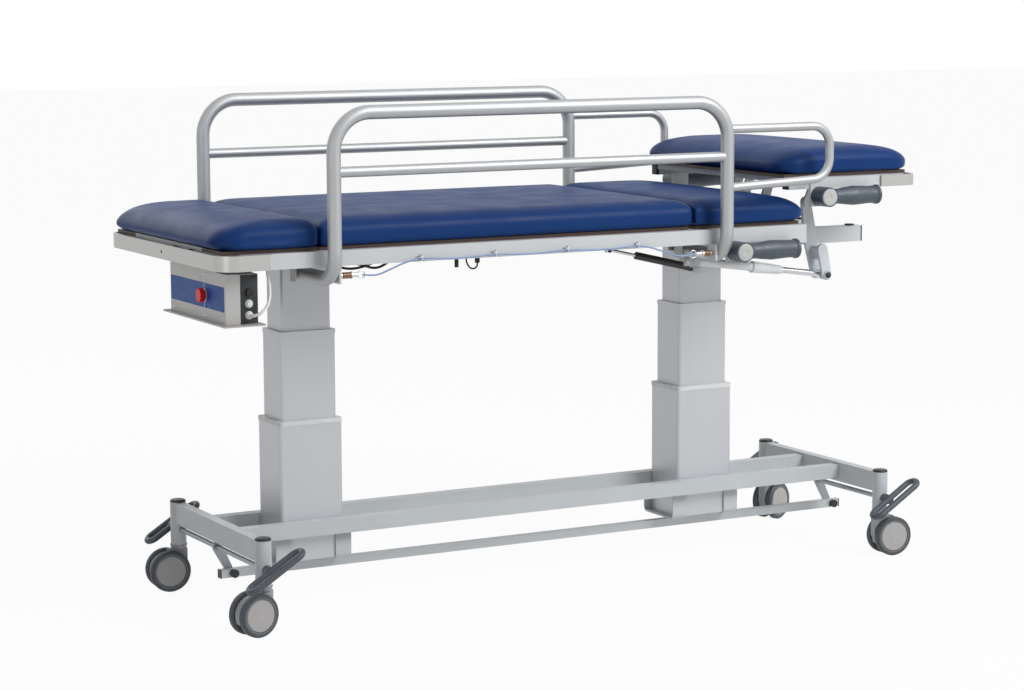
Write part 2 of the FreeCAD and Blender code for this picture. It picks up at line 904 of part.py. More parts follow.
def castor_wheels(name):
    """Two wheels turned about the axle line: bevelled tread, groove and domed disc."""
    wheels = Sketched(name)
    drawing = wheels.sketch("yz", S.castor_trail, S.wheel_radius)
    bore = S.axle_radius + S.running_gap
    inside = S.wheel_inner
    outside = S.wheel_inner + S.wheel_width
    bevel = S.tread_bevel
    for sign in (-1, 1):
        polygon(drawing, [
            (inside * sign, bore),
            (inside * sign, S.wheel_radius - bevel),
            ((inside + bevel) * sign, S.wheel_radius),
            ((outside - bevel) * sign, S.wheel_radius),
            (outside * sign, S.wheel_radius - bevel),
            (outside * sign, S.disc_radius + S.disc_groove),
            ((outside - S.disc_groove) * sign, S.disc_radius + S.disc_groove),
            ((outside - S.disc_groove) * sign, S.disc_radius),
            (outside * sign, S.disc_radius - S.disc_groove),
            ((outside + S.disc_dome) * sign, 0),
            ((outside - S.disc_wall) * sign, 0),
            ((outside - S.disc_wall) * sign, bore),
        ])
    wheels.revolve(drawing)
    return wheels.body


CORNERS = (
    ("fl", -1, -1, S.left_near_heading),
    ("bl", -1, 1, S.left_far_heading),
    ("fr", 1, -1, S.right_near_heading),
    ("br", 1, 1, S.right_far_heading),
)
for corner_name, x_sign, side, heading in CORNERS:
    turn = Rotation(Vector(0, 0, 1), float(heading))
    spot = (S.post_reach * x_sign, S.post_side * side, 0)
    for item, node in ((castor_housing(), "castor_housing"), (castor_wheels(corner_name), "castor_wheels")):
        keep(item, f"{node}_{corner_name}", turn, spot)
        bind(item, "Placement.Rotation.Angle", heading)


# Central brake

pedal_start = S.post_side + S.post_radius + S.slide_gap


def pedal(x, side):
    """A closed loop of round bar outside the castor, tilted, with a boss on the shaft."""
    inner = float(S.pedal_inner)
    outer = float(S.pedal_outer)
    bend = (outer - inner) / 2
    low = float(S.pedal_offset) - float(S.pedal_length) / 2
    high = low + float(S.pedal_length)
    middle = (inner + outer) / 2
    rods = []
    for y in (inner, outer):
        start = Vector(low + bend, y, 0)
        rods.append(Part.makeCylinder(float(S.pedal_rod), high - low - 2 * bend, start, Vector(1, 0, 0)))
    for end, angle in ((low + bend, 90), (high - bend, -90)):
        ring = Part.makeTorus(bend, float(S.pedal_rod), Vector(), Vector(0, 0, 1), -180, 180, 180)
        ring.rotate(Vector(), Vector(0, 0, 1), angle)
        ring.translate(Vector(end, middle, 0))
        rods.append(ring)
    loop = rods[0].multiFuse(rods[1:])
    loop.rotate(Vector(), Vector(0, 1, 0), -float(S.pedal_tilt))
    boss = round_bar("y", (0, 0), S.pedal_boss, pedal_start, S.pedal_inner + S.pedal_boss_lap)
    whole = loop.fuse(boss)
    whole.translate(Vector(float(x), 0, float(S.brake_height)))
    return whole if side > 0 else whole.mirror(Vector(), Vector(0, 1, 0))


def brake(sign):
    """A cross shaft in two lengths, the crank between them with its pin and cap, and two pedals."""
    x = S.post_reach * sign
    z = S.brake_height
    crank_far = S.crank_y + S.crank_wall
    eye = (x + S.crank_reach, z - S.crank_drop)
    near_shaft = round_bar("y", (x, z), S.brake_shaft, -pedal_start, S.crank_y)
    far_shaft = round_bar("y", (x, z), S.brake_shaft, crank_far, pedal_start)
    crank = link(((x, z), eye), (S.crank_hub, S.crank_eye), S.crank_y, crank_far)
    cap_face = S.link_bar_low_y - S.slide_gap
    pin = round_bar("y", eye, S.crank_pin, cap_face, S.crank_y)
    cap = round_bar("y", eye, S.crank_cap_radius, cap_face - S.crank_cap_height, cap_face)
    crank = crank.multiFuse([pin, cap])
    return Part.makeCompound([near_shaft, far_shaft, crank, pedal(x, -1), pedal(x, 1)])


keep(shape_part(brake(-1)), "brake_left")
keep(shape_part(brake(1)), "brake_right")

bar_z = S.brake_height - S.crank_drop
bar_left = -S.post_reach + S.crank_reach - S.link_bar_tail
bar_right = S.post_reach + S.crank_reach + S.link_bar_nose
bar_y = (S.link_bar_low_y, S.link_bar_high_y)
bar_heights = (bar_z - S.link_bar_height / 2, bar_z + S.link_bar_height / 2)
bar_tube = tube_box((bar_left, bar_right), bar_y, bar_heights, S.link_bar_wall, "x")
eye_holes = []
for sign, extra in ((-1, S.running_gap), (1, S.open_pivot_gap)):
    eye_holes.append(rod("y", (S.post_reach * sign + S.crank_reach, bar_z), S.crank_pin + extra,
                         S.link_bar_low_y - 1, S.link_bar_high_y + 1))
bar_plugs = []
for low, high in ((bar_left - S.link_bar_plug, bar_left), (bar_right, bar_right + S.link_bar_plug)):
    bar_plugs.append(box((low, high), bar_y, bar_heights))
keep(group(cut(bar_tube, *eye_holes), *bar_plugs), "brake_bar")


# Top frame

def frame_side():
    """The far side tube with its triangular end gusset."""
    tube = tube_box((S.frame_left, S.frame_right), (S.side_inner, S.side_outer),
                    (S.frame_bottom, S.frame_top), S.tube_wall, "x")
    gusset = plate("Gusset", "xz", [
        (S.frame_right, S.frame_bottom),
        (S.frame_right, S.frame_bottom - S.gusset_drop),
        (S.frame_right - S.gusset_length / 4, S.frame_bottom - S.gusset_drop),
        (S.frame_right - S.gusset_length, S.frame_bottom),
    ], S.side_inner, S.side_outer)
    end = box((S.frame_right, S.frame_right + S.tube_wall), (S.side_inner, S.side_outer),
              (S.frame_bottom - S.gusset_drop, S.frame_top))
    return fuse(tube, gusset.body, end)


def latch_plate(leg_x, toward):
    """The hanging plate that guides a latch bolt, beside a rail's leg."""
    near = leg_x + (S.rail_tube + S.latch_plate_gap) * toward
    far = near + S.latch_plate_wall * toward
    x = (near, far) if toward > 0 else (far, near)
    hanging = box(x, (S.latch_plate_near, S.latch_plate_far), (S.latch_plate_bottom, S.frame_bottom))
    bore = rod("x", (S.latch_y, S.latch_z), S.latch_bolt + S.running_gap, x[0] - 1, x[1] + 1)
    return cut(hanging, bore)


def grip_plate(x, z, top, outer):
    """The square bracket that carries a grip's pivot pin, on the outer face of a side tube."""
    half = S.grip_plate_half
    near = outer + S.grip_plate_wall
    hanging = box((x - half, x + half), (outer, near), (z - half, top))
    pin = rod("y", (x, z), S.grip_pin, near, near + S.grip_depth - S.grip_pin_end)
    return fuse(hanging, pin)


def whole_side():
    return fuse(frame_side(), latch_plate(S.rail_left, 1), latch_plate(S.rail_right, -1),
                grip_plate(S.grip_x, S.grip_z, S.frame_top, S.side_outer))


far_side = whole_side()
keep(group(far_side, mirrored(far_side)), "frame_sides")


def cross_member(x):
    """The three lengths of square tube that cross the frame between its side tubes and spines."""
    half = S.cross_width / 2
    lengths = []
    for y in ((-S.side_inner, -S.spine_outer), (-S.spine_inner, S.spine_inner), (S.spine_outer, S.side_inner)):
        lengths.append(tube_box((x - half, x + half), y, (S.cross_bottom, S.frame_top), S.tube_wall, "y"))
    return lengths


def rail_lugs(x):
    """The two lugs and the pin on which one foot of a side rail turns."""
    inner = S.rail_tube + S.rail_lug_gap
    outer = inner + S.rail_lug_wall
    y = (S.rail_pivot_y - S.rail_lug_half, S.rail_pivot_y + S.rail_lug_half)
    z = (S.rail_foot_z - S.rail_lug_drop, S.cross_bottom + S.rail_lug_weld)
    pin = rod("x", (S.rail_pivot_y, S.rail_foot_z), S.rail_pin, x - inner, x + inner)
    return [box((x - outer, x - inner), y, z), box((x + inner, x + outer), y, z), pin]


def stub_tube():
    """A square tube below the frame that reaches out to carry the head section."""
    y = (S.stub_inner, S.stub_outer)
    tube = tube_box((S.stub_left, S.stub_right), y, (S.stub_bottom, S.frame_bottom), S.stub_wall, "x")
    bores = []
    for x in (S.lever_x, S.lever_x - S.arm_spacing):
        bores.append(rod("y", (x, S.lever_z), S.pivot_shaft + S.running_gap,
                         S.stub_inner - 1, S.stub_outer + 1))
    pieces = [cut(tube, *bores)]
    for x in (S.actuator_cross_x, S.right_end_cross_x):
        pieces.append(box((x - S.cross_width / 2, x + S.cross_width / 2), y,
                          (S.frame_bottom, S.cross_bottom)))
    return pieces


def cheeks(x, z, y, half_gap, wall, half_width, top, head):
    """Two hanging cheeks for an eye between them, each with a bolt head on its outer face."""
    pieces = []
    for sign in (-1, 1):
        faces = [y + (half_gap + step) * sign for step in (0, wall, wall + S.bolt_head)]
        span = (faces[0], faces[1]) if sign > 0 else (faces[1], faces[0])
        bolt = (faces[1], faces[2]) if sign > 0 else (faces[2], faces[1])
        cheek = box((x - half_width, x + half_width), span, (z - half_width, top))
        pieces.append(fuse(cheek, rod("y", (x, z), head, *bolt)))
    return pieces


cross_places = (S.left_end_cross_x, S.rail_left, S.middle_left_cross_x, S.middle_right_cross_x,
                S.rail_right, S.actuator_cross_x, S.right_end_cross_x)
members = []
for cross_x in cross_places:
    members += cross_member(cross_x)
spine = tube_box((S.left_end_cross_x, S.right_end_cross_x), (S.spine_inner, S.spine_outer),
                 (spine_bottom, S.frame_top), S.tube_wall, "x")
paired = [spine, *rail_lugs(S.rail_left), *rail_lugs(S.rail_right), *stub_tube()]
members += paired + [mirrored(item) for item in paired]
gas_gap = S.gas_body + S.slide_gap
members += cheeks(S.gas_pivot_x, S.gas_pivot_z, S.gas_y, gas_gap, S.gas_cheek_wall, S.gas_cheek_half,
                  S.stub_bottom, S.gas_pin)
members.append(rod("y", (S.gas_pivot_x, S.gas_pivot_z), S.gas_pin, S.gas_y - gas_gap, S.gas_y + gas_gap))
members += cheeks(S.drive_x, S.drive_z, S.drive_y, S.drive_tube + S.slide_gap, S.drive_cheek_wall,
                  S.drive_cheek_half, S.cross_bottom, S.drive_pin)
keep(group(*members), "frame_cross_members")

stub_ends = []
for name, side in SIDES:
    y = (S.stub_inner, S.stub_outer) if side > 0 else (-S.stub_outer, -S.stub_inner)
    stub_ends.append(box((S.stub_right, S.stub_right + S.stub_cap), y, (S.stub_bottom, S.frame_bottom)))
    middle_y = (S.stub_inner + S.stub_outer) / 2 * side
    stub_ends.append(rod("z", (S.buffer_x, middle_y), S.buffer_radius, S.frame_bottom,
                         S.frame_bottom + S.buffer_height))


def bumper(name, x_tip, x_end, half, low, high, bend, wall):
    """A flat bar bent to a U round one end of the frame."""
    outer = Sketched(name)
    drawing = outer.sketch("xy", low)
    inward = 1 if float(x_end) > float(x_tip) else -1
    points = [(x_end, -half), (x_tip, -half), (x_tip, half), (x_end, half)]
    if inward < 0:
        points.reverse()
    polygon(drawing, points)
    outer.pad(drawing, high - low)
    tip = float(x_tip)
    outer.fillet(lambda e: along((0, 0, 1))(e) and abs(e.CenterOfMass.x - tip) < 1, bend)
    inner = Sketched(name + "_inside")
    drawing = inner.sketch("xy", low - 1)
    face = x_tip + wall * inward
    beyond = x_end + wall * inward
    points = [(beyond, -half + wall), (face, -half + wall), (face, half - wall), (beyond, half - wall)]
    if inward < 0:
        points.reverse()
    polygon(drawing, points)
    inner.pad(drawing, high - low + 2)
    inner_tip = float(face)
    inner.fillet(lambda e: along((0, 0, 1))(e) and abs(e.CenterOfMass.x - inner_tip) < 1, bend - wall)
    return cut(outer.body, inner.body)


end_bumper = bumper("EndBumper", S.bumper_left, S.bumper_right, S.side_outer + S.bumper_wall,
                    S.frame_bottom, S.frame_top, S.bumper_bend, S.bumper_wall)
hole_z = (S.frame_bottom + S.frame_top) / 2
bumper_hole = rod("x", (0, hole_z), S.bumper_hole, S.bumper_left - 1, S.bumper_left + S.bumper_wall + 1)
keep(cut(end_bumper, bumper_hole), "end_bumper")


def board(left, right, half, low):
    return box((left, right), (-half, half), (low, low + S.board_wall))


def knuckle(y, toward):
    """One knuckle of a board hinge, with the leaf that joins it to its board's edge."""
    low = y - S.knuckle_length / 2
    high = y + S.knuckle_length / 2
    barrel = rod("y", (S.back_hinge_x, S.back_hinge_z), S.knuckle_radius, low, high)
    edge = S.back_hinge_x + S.hinge_gap * toward
    x = (S.back_hinge_x, edge) if toward > 0 else (edge, S.back_hinge_x)
    leaf = box(x, (low, high), (S.back_hinge_z, S.back_hinge_z + S.knuckle_leaf))
    return fuse(barrel, leaf)


def seat_knuckles(y):
    """The two outer knuckles of a hinge and its pin."""
    pitch = S.knuckle_length + S.slide_gap
    pin = rod("y", (S.back_hinge_x, S.back_hinge_z), S.knuckle_pin, y - pitch, y + pitch)
    return fuse(knuckle(y - pitch, 1), knuckle(y + pitch, 1), pin)


def back_knuckle(y):
    """The middle knuckle of a hinge, bored for the pin."""
    reach = S.knuckle_length
    return cut(knuckle(y, -1), rod("y", (S.back_hinge_x, S.back_hinge_z),
                                   S.knuckle_pin + S.running_gap, y - reach, y + reach))


board_half = S.side_outer - S.board_inset
seat_board = board(S.back_hinge_x + S.hinge_gap, S.seat_pad_right - S.board_inset, board_half, S.frame_top)
keep(group(board(S.foot_pad_left + S.board_inset, S.foot_pad_right - S.pad_gap * 2, board_half, S.frame_top),
           fuse(seat_board, seat_knuckles(-S.hinge_y), seat_knuckles(S.hinge_y))),
     "deck_boards")


# Pads

def pad_block(name, left, right, half, low, high, corner, round_left, round_right):
    """A cushion block with rounded outer corners and a rolled top edge."""
    pad = Sketched(name)
    drawing = pad.sketch("xy", low)
    rectangle(drawing, (left, right), (-half, half))
    pad.pad(drawing, high - low)
    ends = [float(end) for end, wanted in ((left, round_left), (right, round_right)) if wanted]
    if ends:
        pad.fillet(lambda e: along((0, 0, 1))(e) and min(abs(e.CenterOfMass.x - x) for x in ends) < 1,
                   corner)
    top = float(high)
    inner_ends = [float(end) for end, wanted in ((left, round_left), (right, round_right)) if not wanted]

    def rolled(edge):
        middle = edge.CenterOfMass
        if abs(middle.z - top) > 0.1:
            return False
        return all(abs(middle.x - x) > 1 for x in inner_ends)
    pad.fillet(rolled, S.pad_roll)
    return pad.body


pad_low = S.frame_top + S.board_wall
keep(pad_block("FootPad", S.foot_pad_left, S.foot_pad_right, S.pad_half, pad_low, S.pad_top,
               S.pad_corner, True, False), "pad_foot")
keep(pad_block("SeatPad", S.seat_pad_left, S.seat_pad_right, S.pad_half, pad_low, S.pad_top,
               S.pad_corner, False, True), "pad_seat")

# The back section turns up about its right end, so that end leans away from the seat pad.
back_left = S.foot_pad_right + S.pad_gap
back_block = Sketched("BackPad")
back_drawing = back_block.sketch("xy", pad_low)
rectangle(back_drawing, (back_left, S.back_pad_right), (-S.pad_half, S.pad_half))
back_block.pad(back_drawing, S.pad_top - pad_low)
pad_ends = (float(back_left), float(S.back_pad_right))
back_block.fillet(lambda e: abs(e.CenterOfMass.z - float(S.pad_top)) < 0.1
                  and min(abs(e.CenterOfMass.x - x) for x in pad_ends) > 1, S.pad_roll)
lean = math.tan(math.radians(float(S.back_angle)))
lean_top = S.pad_top + S.lean_margin
lean_right = S.back_pad_right + S.lean_margin
wedge_points = [
    (S.back_hinge_x, S.back_hinge_z),
    (lean_right, S.back_hinge_z),
    (lean_right, lean_top),
    (S.back_hinge_x - (lean_top - S.back_hinge_z) * lean, lean_top),
]
wedge = plate("BackLean", "xz", wedge_points, -S.pad_half - S.lean_margin, S.pad_half + S.lean_margin)
keep(cut(back_block.body, wedge.body), "pad_back")

back_plate = board(back_left, S.back_hinge_x - S.hinge_gap, board_half, S.frame_top)
ear_low = S.gas_y + S.gas_ear_offset
gas_ear = shape_part(link(((S.gas_eye_x, S.gas_eye_z), (S.gas_eye_x + S.gas_ear_rise, S.frame_top - 2)),
                          (S.gas_eye_radius, S.gas_ear_foot), ear_low, ear_low + S.gas_ear_wall))
gas_ear_pin = rod("y", (S.gas_eye_x, S.gas_eye_z), S.gas_pin, S.gas_y - S.gas_eye_half,
                  S.gas_y + S.gas_eye_half)
keep(fuse(back_plate, gas_ear, gas_ear_pin, back_knuckle(-S.hinge_y), back_knuckle(S.hinge_y)),
     "back_board")


# Gas spring, drawn along the line between its two pivots

def along_line(start, end, y, shape):
    """Lays a piece drawn along +X from the origin onto the line from start to end."""
    dx = float(end[0]) - float(start[0])
    dz = float(end[1]) - float(start[1])
    laid = shape.copy()
    laid.rotate(Vector(), Vector(0, 1, 0), -math.degrees(math.atan2(dz, dx)))
    laid.translate(Vector(float(start[0]), float(y), float(start[1])))
    return laid


def distance(start, end):
    return math.hypot(float(end[0]) - float(start[0]), float(end[1]) - float(start[1]))


gas_start = (S.gas_pivot_x, S.gas_pivot_z)
gas_end = (S.gas_eye_x, S.gas_eye_z)
gas_reach = distance(gas_start, gas_end)
gas_eye = float(S.gas_eye_radius)
gas_bore = float(S.gas_rod + S.running_gap)
gas_tube = round_bar("x", (0, 0), S.gas_body, gas_eye, S.gas_body_length)
gas_tube = gas_tube.fuse(round_bar("y", (0, 0), gas_eye, -S.gas_eye_half, S.gas_eye_half))
gas_tube = gas_tube.fuse(round_bar("x", (0, 0), S.gas_rod + 1, 0, gas_eye + 2))
gas_tube = gas_tube.cut(round_bar("x", (0, 0), gas_bore, S.gas_bore_start, S.gas_body_length + 1))
gas_tube = gas_tube.cut(round_bar("y", (0, 0), S.gas_pin + S.running_gap, -gas_eye, gas_eye))
keep(shape_part(along_line(gas_start, gas_end, S.gas_y, gas_tube)), "gas_spring_body")

gas_rod = round_bar("x", (0, 0), S.gas_rod, S.gas_rod_start, gas_reach - gas_eye + 2)
gas_rod = gas_rod.fuse(round_bar("y", (gas_reach, 0), gas_eye, -S.gas_rod_eye_half, S.gas_rod_eye_half))
gas_rod = gas_rod.cut(round_bar("y", (gas_reach, 0), S.gas_pin + S.gas_open_gap, -gas_eye, gas_eye))
keep(shape_part(along_line(gas_start, gas_end, S.gas_y, gas_rod)), "gas_spring_rod")


# Side rails

def side_rail():
    """The far rail: a bent tube with J-shaped feet, a mid bar and a hand loop."""
    y = S.rail_y
    foot = S.rail_foot_z
    bends = (S.rail_foot_bend, S.rail_corner, S.rail_corner, S.rail_foot_bend)
    points = [
        (S.rail_left, S.rail_foot_end, foot), (S.rail_left, y, foot), (S.rail_left, y, S.rail_top),
        (S.rail_right, y, S.rail_top), (S.rail_right, y, foot), (S.rail_right, S.rail_foot_end, foot),
    ]
    hoop = bent_tube(points, bends, S.rail_tube)
    mid = round_bar("x", (y, S.rail_mid), S.rail_mid_tube, S.rail_left, S.rail_right)
    loop = bent_tube([
        (S.rail_right, y, S.hand_top), (S.hand_reach, y, S.hand_top),
        (S.hand_reach, y, S.hand_rise), (S.rail_right, y, S.hand_low),
    ], (S.hand_bend, S.hand_bend), S.hand_tube)
    solid = hoop.multiFuse([mid, loop])
    bores = []
    for x, toward in ((S.rail_left, 1), (S.rail_right, -1)):
        bores.append(round_bar("x", (S.rail_pivot_y, foot), S.rail_pin + S.running_gap,
                               x - S.rail_tube * 2, x + S.rail_tube * 2))
        near = x if toward > 0 else x - S.rail_tube * 2
        bores.append(round_bar("x", (S.latch_y, S.latch_z), S.latch_hole, near, near + S.rail_tube * 2))
    return solid.cut(bores[0].multiFuse(bores[1:]))


far_rail = side_rail()
keep(shape_part(far_rail.mirror(Vector(), Vector(0, 1, 0))), "rail_near")
keep(shape_part(far_rail), "rail_far")


def latch(leg_x, toward):
    """A spring bolt beside a rail's leg, with its nose, coil, collar and pull ring."""
    tip = leg_x + (S.rail_tube + S.latch_tip_gap) * toward
    shoulder = tip + S.latch_travel * toward
    plate_far = leg_x + (S.rail_tube + S.latch_plate_gap + S.latch_plate_wall) * toward
    coil_start = plate_far + (S.latch_travel + S.slide_gap) * toward
    coil_end = coil_start + S.latch_spring_length * toward
    end = tip + S.latch_length * toward
    at = (S.latch_y, S.latch_z)

    def bar(radius, first, last):
        low, high = sorted((float(first), float(last)))
        return round_bar("x", at, radius, low, high)

    pieces = [bar(S.latch_nose, tip, shoulder), bar(S.latch_bolt, shoulder, end)]
    turns = int(float(S.latch_turns))
    for i in range(turns):
        x = coil_start + (coil_end - coil_start) * ((i + 1 / 2) / turns)
        centre = Vector(float(x), float(S.latch_y), float(S.latch_z))
        pieces.append(Part.makeTorus(float(S.latch_spring_radius), float(S.latch_spring_wire), centre,
                                     Vector(1, 0, 0)))
    pieces.append(bar(S.latch_collar_radius, coil_end, coil_end + S.latch_collar * toward))
    ring_x = end + (S.latch_ring_radius - 1) * toward
    pieces.append(Part.makeTorus(float(S.latch_ring_radius), float(S.latch_ring_wire),
                                 Vector(float(ring_x), float(S.latch_y), float(S.latch_z)),
                                 Vector(0, 1, 0)))
    return pieces[0].multiFuse(pieces[1:])


for side_name, sign in SIDES:
    for end_name, leg_x, toward in (("left", S.rail_left, 1), ("right", S.rail_right, -1)):
        bolt = latch(leg_x, toward)
        bolt = bolt if sign > 0 else bolt.mirror(Vector(), Vector(0, 1, 0))
        keep(shape_part(bolt), f"latch_{side_name}_{end_name}")


def soft_radii(points):
    """For each inner point, the largest arc that its two runs leave room for."""
    share = 0.45
    radii = []
    for i in range(1, len(points) - 1):
        before, here, after = [Vector(*point) for point in points[i - 1:i + 2]]
        turn = math.pi - (before - here).getAngle(after - here)
        shorter = min(here.distanceToPoint(before), here.distanceToPoint(after))
        radii.append(share * shorter / math.tan(turn / 2))
    return radii


def release_wire():
    """The sheathed wire between the two latches of one rail, sagging a little between its hooks."""
    ring_gap = float(S.latch_tip_gap + S.rail_tube + S.latch_length + S.latch_ring_radius)
    left = float(S.rail_left) + ring_gap
    right = float(S.rail_right) - ring_gap
    y = float(S.wire_y)
    low = float(S.latch_z)
    high = float(S.wire_z)
    lead = float(S.wire_lead)
    dip = float(S.wire_dip)
    lead_z = low - float(S.wire_lead_dip)
    hook_xs = [float(S.hook_first_x + S.hook_pitch * i) for i in range(int(float(S.hook_count)))]
    points = [(left, y, low), (left + lead, y, lead_z), (hook_xs[0] - lead, y, high - dip)]
    for i, x in enumerate(hook_xs):
        if i:
            points.append(((x + hook_xs[i - 1]) / 2, y, high - dip))
        points.append((x, y, high))
    points += [(hook_xs[-1] + lead, y, high - dip), (right - lead, y, lead_z), (right, y, low)]
    return bent_tube(points, soft_radii(points), S.wire_radius)


wire = release_wire()
keep(shape_part(Part.makeCompound([wire, wire.mirror(Vector(), Vector(0, 1, 0))])), "release_wires")

hooks = []
hook_rise = S.hook_radius - S.hook_wire - S.wire_radius - S.slide_gap - S.wire_sag
for i in range(int(float(S.hook_count))):
    for name, side in SIDES:
        centre = Vector(float(S.hook_first_x + S.hook_pitch * i), float(S.wire_y) * side,
                        float(S.wire_z + hook_rise))
        hooks.append(Part.makeTorus(float(S.hook_radius), float(S.hook_wire), centre, Vector(1, 0, 0)))
keep(shape_part(Part.makeCompound(hooks)), "wire_hooks")


# Hand grips

def grip(name, x, z, end, outer):
    """A waisted handle turned about X, with a round hub on its pivot pin."""
    handle = Sketched(name)
    near = outer + S.grip_plate_wall + S.slide_gap
    far = outer + S.grip_plate_wall + S.grip_depth
    middle = (near + far) / 2
    drawing = handle.sketch("xz", -middle, z)
    start = x + S.grip_radius / 2
    length = end - start
    radius = S.grip_radius
    waist = S.grip_waist
    swell = radius - waist
    polygon(drawing, [
        (start, 0), (start, waist), (start + length / 5, waist), (start + length / 3, radius - swell / 2),
        (start + length / 2, radius), (start + length * 4 / 5, waist + swell / 2),
        (end - radius / 2, waist + swell / 2), (end - radius / 3, radius), (end - swell / 2, radius),
        (end, radius - swell), (end, 0),
    ])
    handle.revolve(drawing)
    hub = rod("y", (x, z), S.grip_radius, near, far)
    bore = rod("y", (x, z), S.grip_pin + S.running_gap, near, far - S.grip_bore_end)
    return cut(fuse(handle.body, hub), bore)


for side_name, side in SIDES:
    keep(on_side(side, lambda: grip("Grip", S.grip_x, S.grip_z, S.grip_end, S.side_outer)),
         f"grip_main_{side_name}")


# Head section: a parallelogram of two levers and two arms on the stub tubes

pivot_front = (S.lever_x, S.lever_z)
pivot_rear = (S.lever_x - S.arm_spacing, S.lever_z)
ear_front = (S.lever_x + S.ear_dx, S.lever_z + S.ear_dz)
ear_rear = (S.lever_x - S.arm_spacing + S.ear_dx, S.lever_z + S.ear_dz)
foot_pin = (S.lever_x + S.foot_dx, S.lever_z + S.foot_dz)


def head_lever():
    """Lever outside a stub tube, with its shaft in the tube and an eye for the ear's pin."""
    web = link((pivot_front, ear_front), (S.lever_hub, S.lever_tip), S.lever_inner, S.lever_outer)
    shaft = round_bar("y", pivot_front, S.pivot_shaft, S.stub_inner, S.lever_inner)
    boss = round_bar("y", pivot_front, S.lever_hub - S.hub_step, S.stub_outer + S.slide_gap, S.lever_inner)
    bore = round_bar("y", ear_front, S.ear_pin + S.running_gap, S.lever_inner - 1, S.lever_outer + 1)
    return web.multiFuse([shaft, boss]).cut(bore)


def lever_foot():
    """The near lever's foot: two plates with a pin for the actuator's eye between them."""
    near = (S.foot_near_inner, S.foot_near_outer)
    start = S.foot_web_start
    stop = S.foot_web_end
    web_top = (S.lever_x + S.foot_dx * start, S.lever_z + S.foot_dz * start)
    web_end = (S.lever_x + S.foot_dx * stop, S.lever_z + S.foot_dz * stop)
    inner = link((pivot_front, foot_pin), (S.lever_hub, S.lever_tip), S.lever_inner, S.lever_outer)
    outer = link((web_top, foot_pin), (S.lever_tip + 1, S.lever_tip), *near)
    web = link((web_top, web_end), (S.foot_web_radius, S.foot_web_radius), S.lever_inner, S.foot_near_outer)
    eye_y = -S.drive_y
    gap = S.drive_eye_half + S.slide_gap
    boss_radius = S.foot_pin + S.foot_boss
    inner_boss = round_bar("y", foot_pin, boss_radius, S.lever_outer, eye_y - gap)
    outer_boss = round_bar("y", foot_pin, boss_radius, eye_y + gap, S.foot_near_inner)
    pin = round_bar("y", foot_pin, S.foot_pin, S.lever_outer, S.foot_near_inner)
    cap = round_bar("y", foot_pin, S.foot_pin + S.foot_cap, S.foot_near_outer, S.foot_near_outer + S.foot_cap)
    return inner.multiFuse([outer, web, inner_boss, outer_boss, pin, cap])


def head_arm():
    """Arm inside a stub tube; the ear's pin has play in its upper eye."""
    web = link((pivot_rear, ear_rear), (S.lever_hub - S.hub_step, S.lever_tip), S.arm_inner, S.arm_outer)
    shaft = round_bar("y", pivot_rear, S.pivot_shaft, S.arm_outer, S.stub_outer)
    bore = round_bar("y", ear_rear, S.ear_pin + S.ear_open_gap, S.arm_inner - 1, S.arm_outer + 1)
    return web.fuse(shaft).cut(bore)


lever_far = head_lever()
ear_bore = round_bar("y", ear_front, S.ear_pin + S.running_gap, S.lever_inner - 1, S.lever_outer + 1)
lever_near = lever_far.fuse(lever_foot()).cut(ear_bore).removeSplitter()
keep(shape_part(lever_near.mirror(Vector(), Vector(0, 1, 0))), "head_lever_near")
keep(shape_part(lever_far), "head_lever_far")
arm_far = head_arm()
keep(shape_part(arm_far.mirror(Vector(), Vector(0, 1, 0))), "head_arm_near")
keep(shape_part(arm_far), "head_arm_far")


def head_side():
    """The far side of the head frame, with its ears, pins and grip bracket."""
    tube = tube_box((S.head_left, S.head_right), (S.head_side_inner, S.head_side_outer),
                    (S.head_low, S.head_high), S.tube_wall, "x")
    root_z = S.head_cross_low + S.ear_rise
    front_ear = link((ear_front, (S.head_front_cross_x - S.ear_lean, root_z)),
                     (S.lever_tip, S.ear_root), S.front_ear_inner, S.front_ear_outer)
    rear_ear = link((ear_rear, (S.head_rear_cross_x, root_z)),
                    (S.lever_tip, S.ear_root), S.rear_ear_inner, S.rear_ear_outer)
    front_pin = round_bar("y", ear_front, S.ear_pin, S.lever_inner, S.front_ear_inner)
    rear_pin = round_bar("y", ear_rear, S.ear_pin, S.rear_ear_outer, S.arm_outer)
    ears = shape_part(front_ear.fuse(front_pin))
    rear_ears = shape_part(rear_ear.fuse(rear_pin))
    bracket = grip_plate(S.head_grip_x, S.head_grip_z, S.head_high, S.head_side_outer)
    return fuse(tube, ears, rear_ears, bracket)


head_members = []
for head_x in (S.head_rear_cross_x, S.head_front_cross_x, S.head_right - S.head_cross_width / 2):
    half = S.head_cross_width / 2
    head_members.append(tube_box((head_x - half, head_x + half), (-S.head_side_inner, S.head_side_inner),
                                 (S.head_cross_low, S.head_high), S.tube_wall, "y"))
head_members.append(box((S.head_left, S.head_left + S.head_bar_width), (-S.head_side_inner, S.head_side_inner),
                        (S.head_bar_z, S.head_high)))
far_head = head_side()
head_members += [far_head, mirrored(far_head)]
keep(fuse(*head_members), "head_frame")
keep(bumper("HeadBumper", S.head_bumper_right, S.head_bumper_left, S.head_side_outer + S.bumper_wall,
            S.head_bumper_low, S.head_bumper_high, S.head_bumper_bend, S.bumper_wall), "head_bumper")
inset = S.head_board_inset
keep(group(board(S.head_pad_left + inset, S.head_pad_right - inset, S.head_pad_half - inset, S.head_high)),
     "head_board")
keep(pad_block("HeadPad", S.head_pad_left, S.head_pad_right, S.head_pad_half, S.head_high + S.board_wall,
               S.head_pad_top, S.pad_corner, True, True), "head_pad")
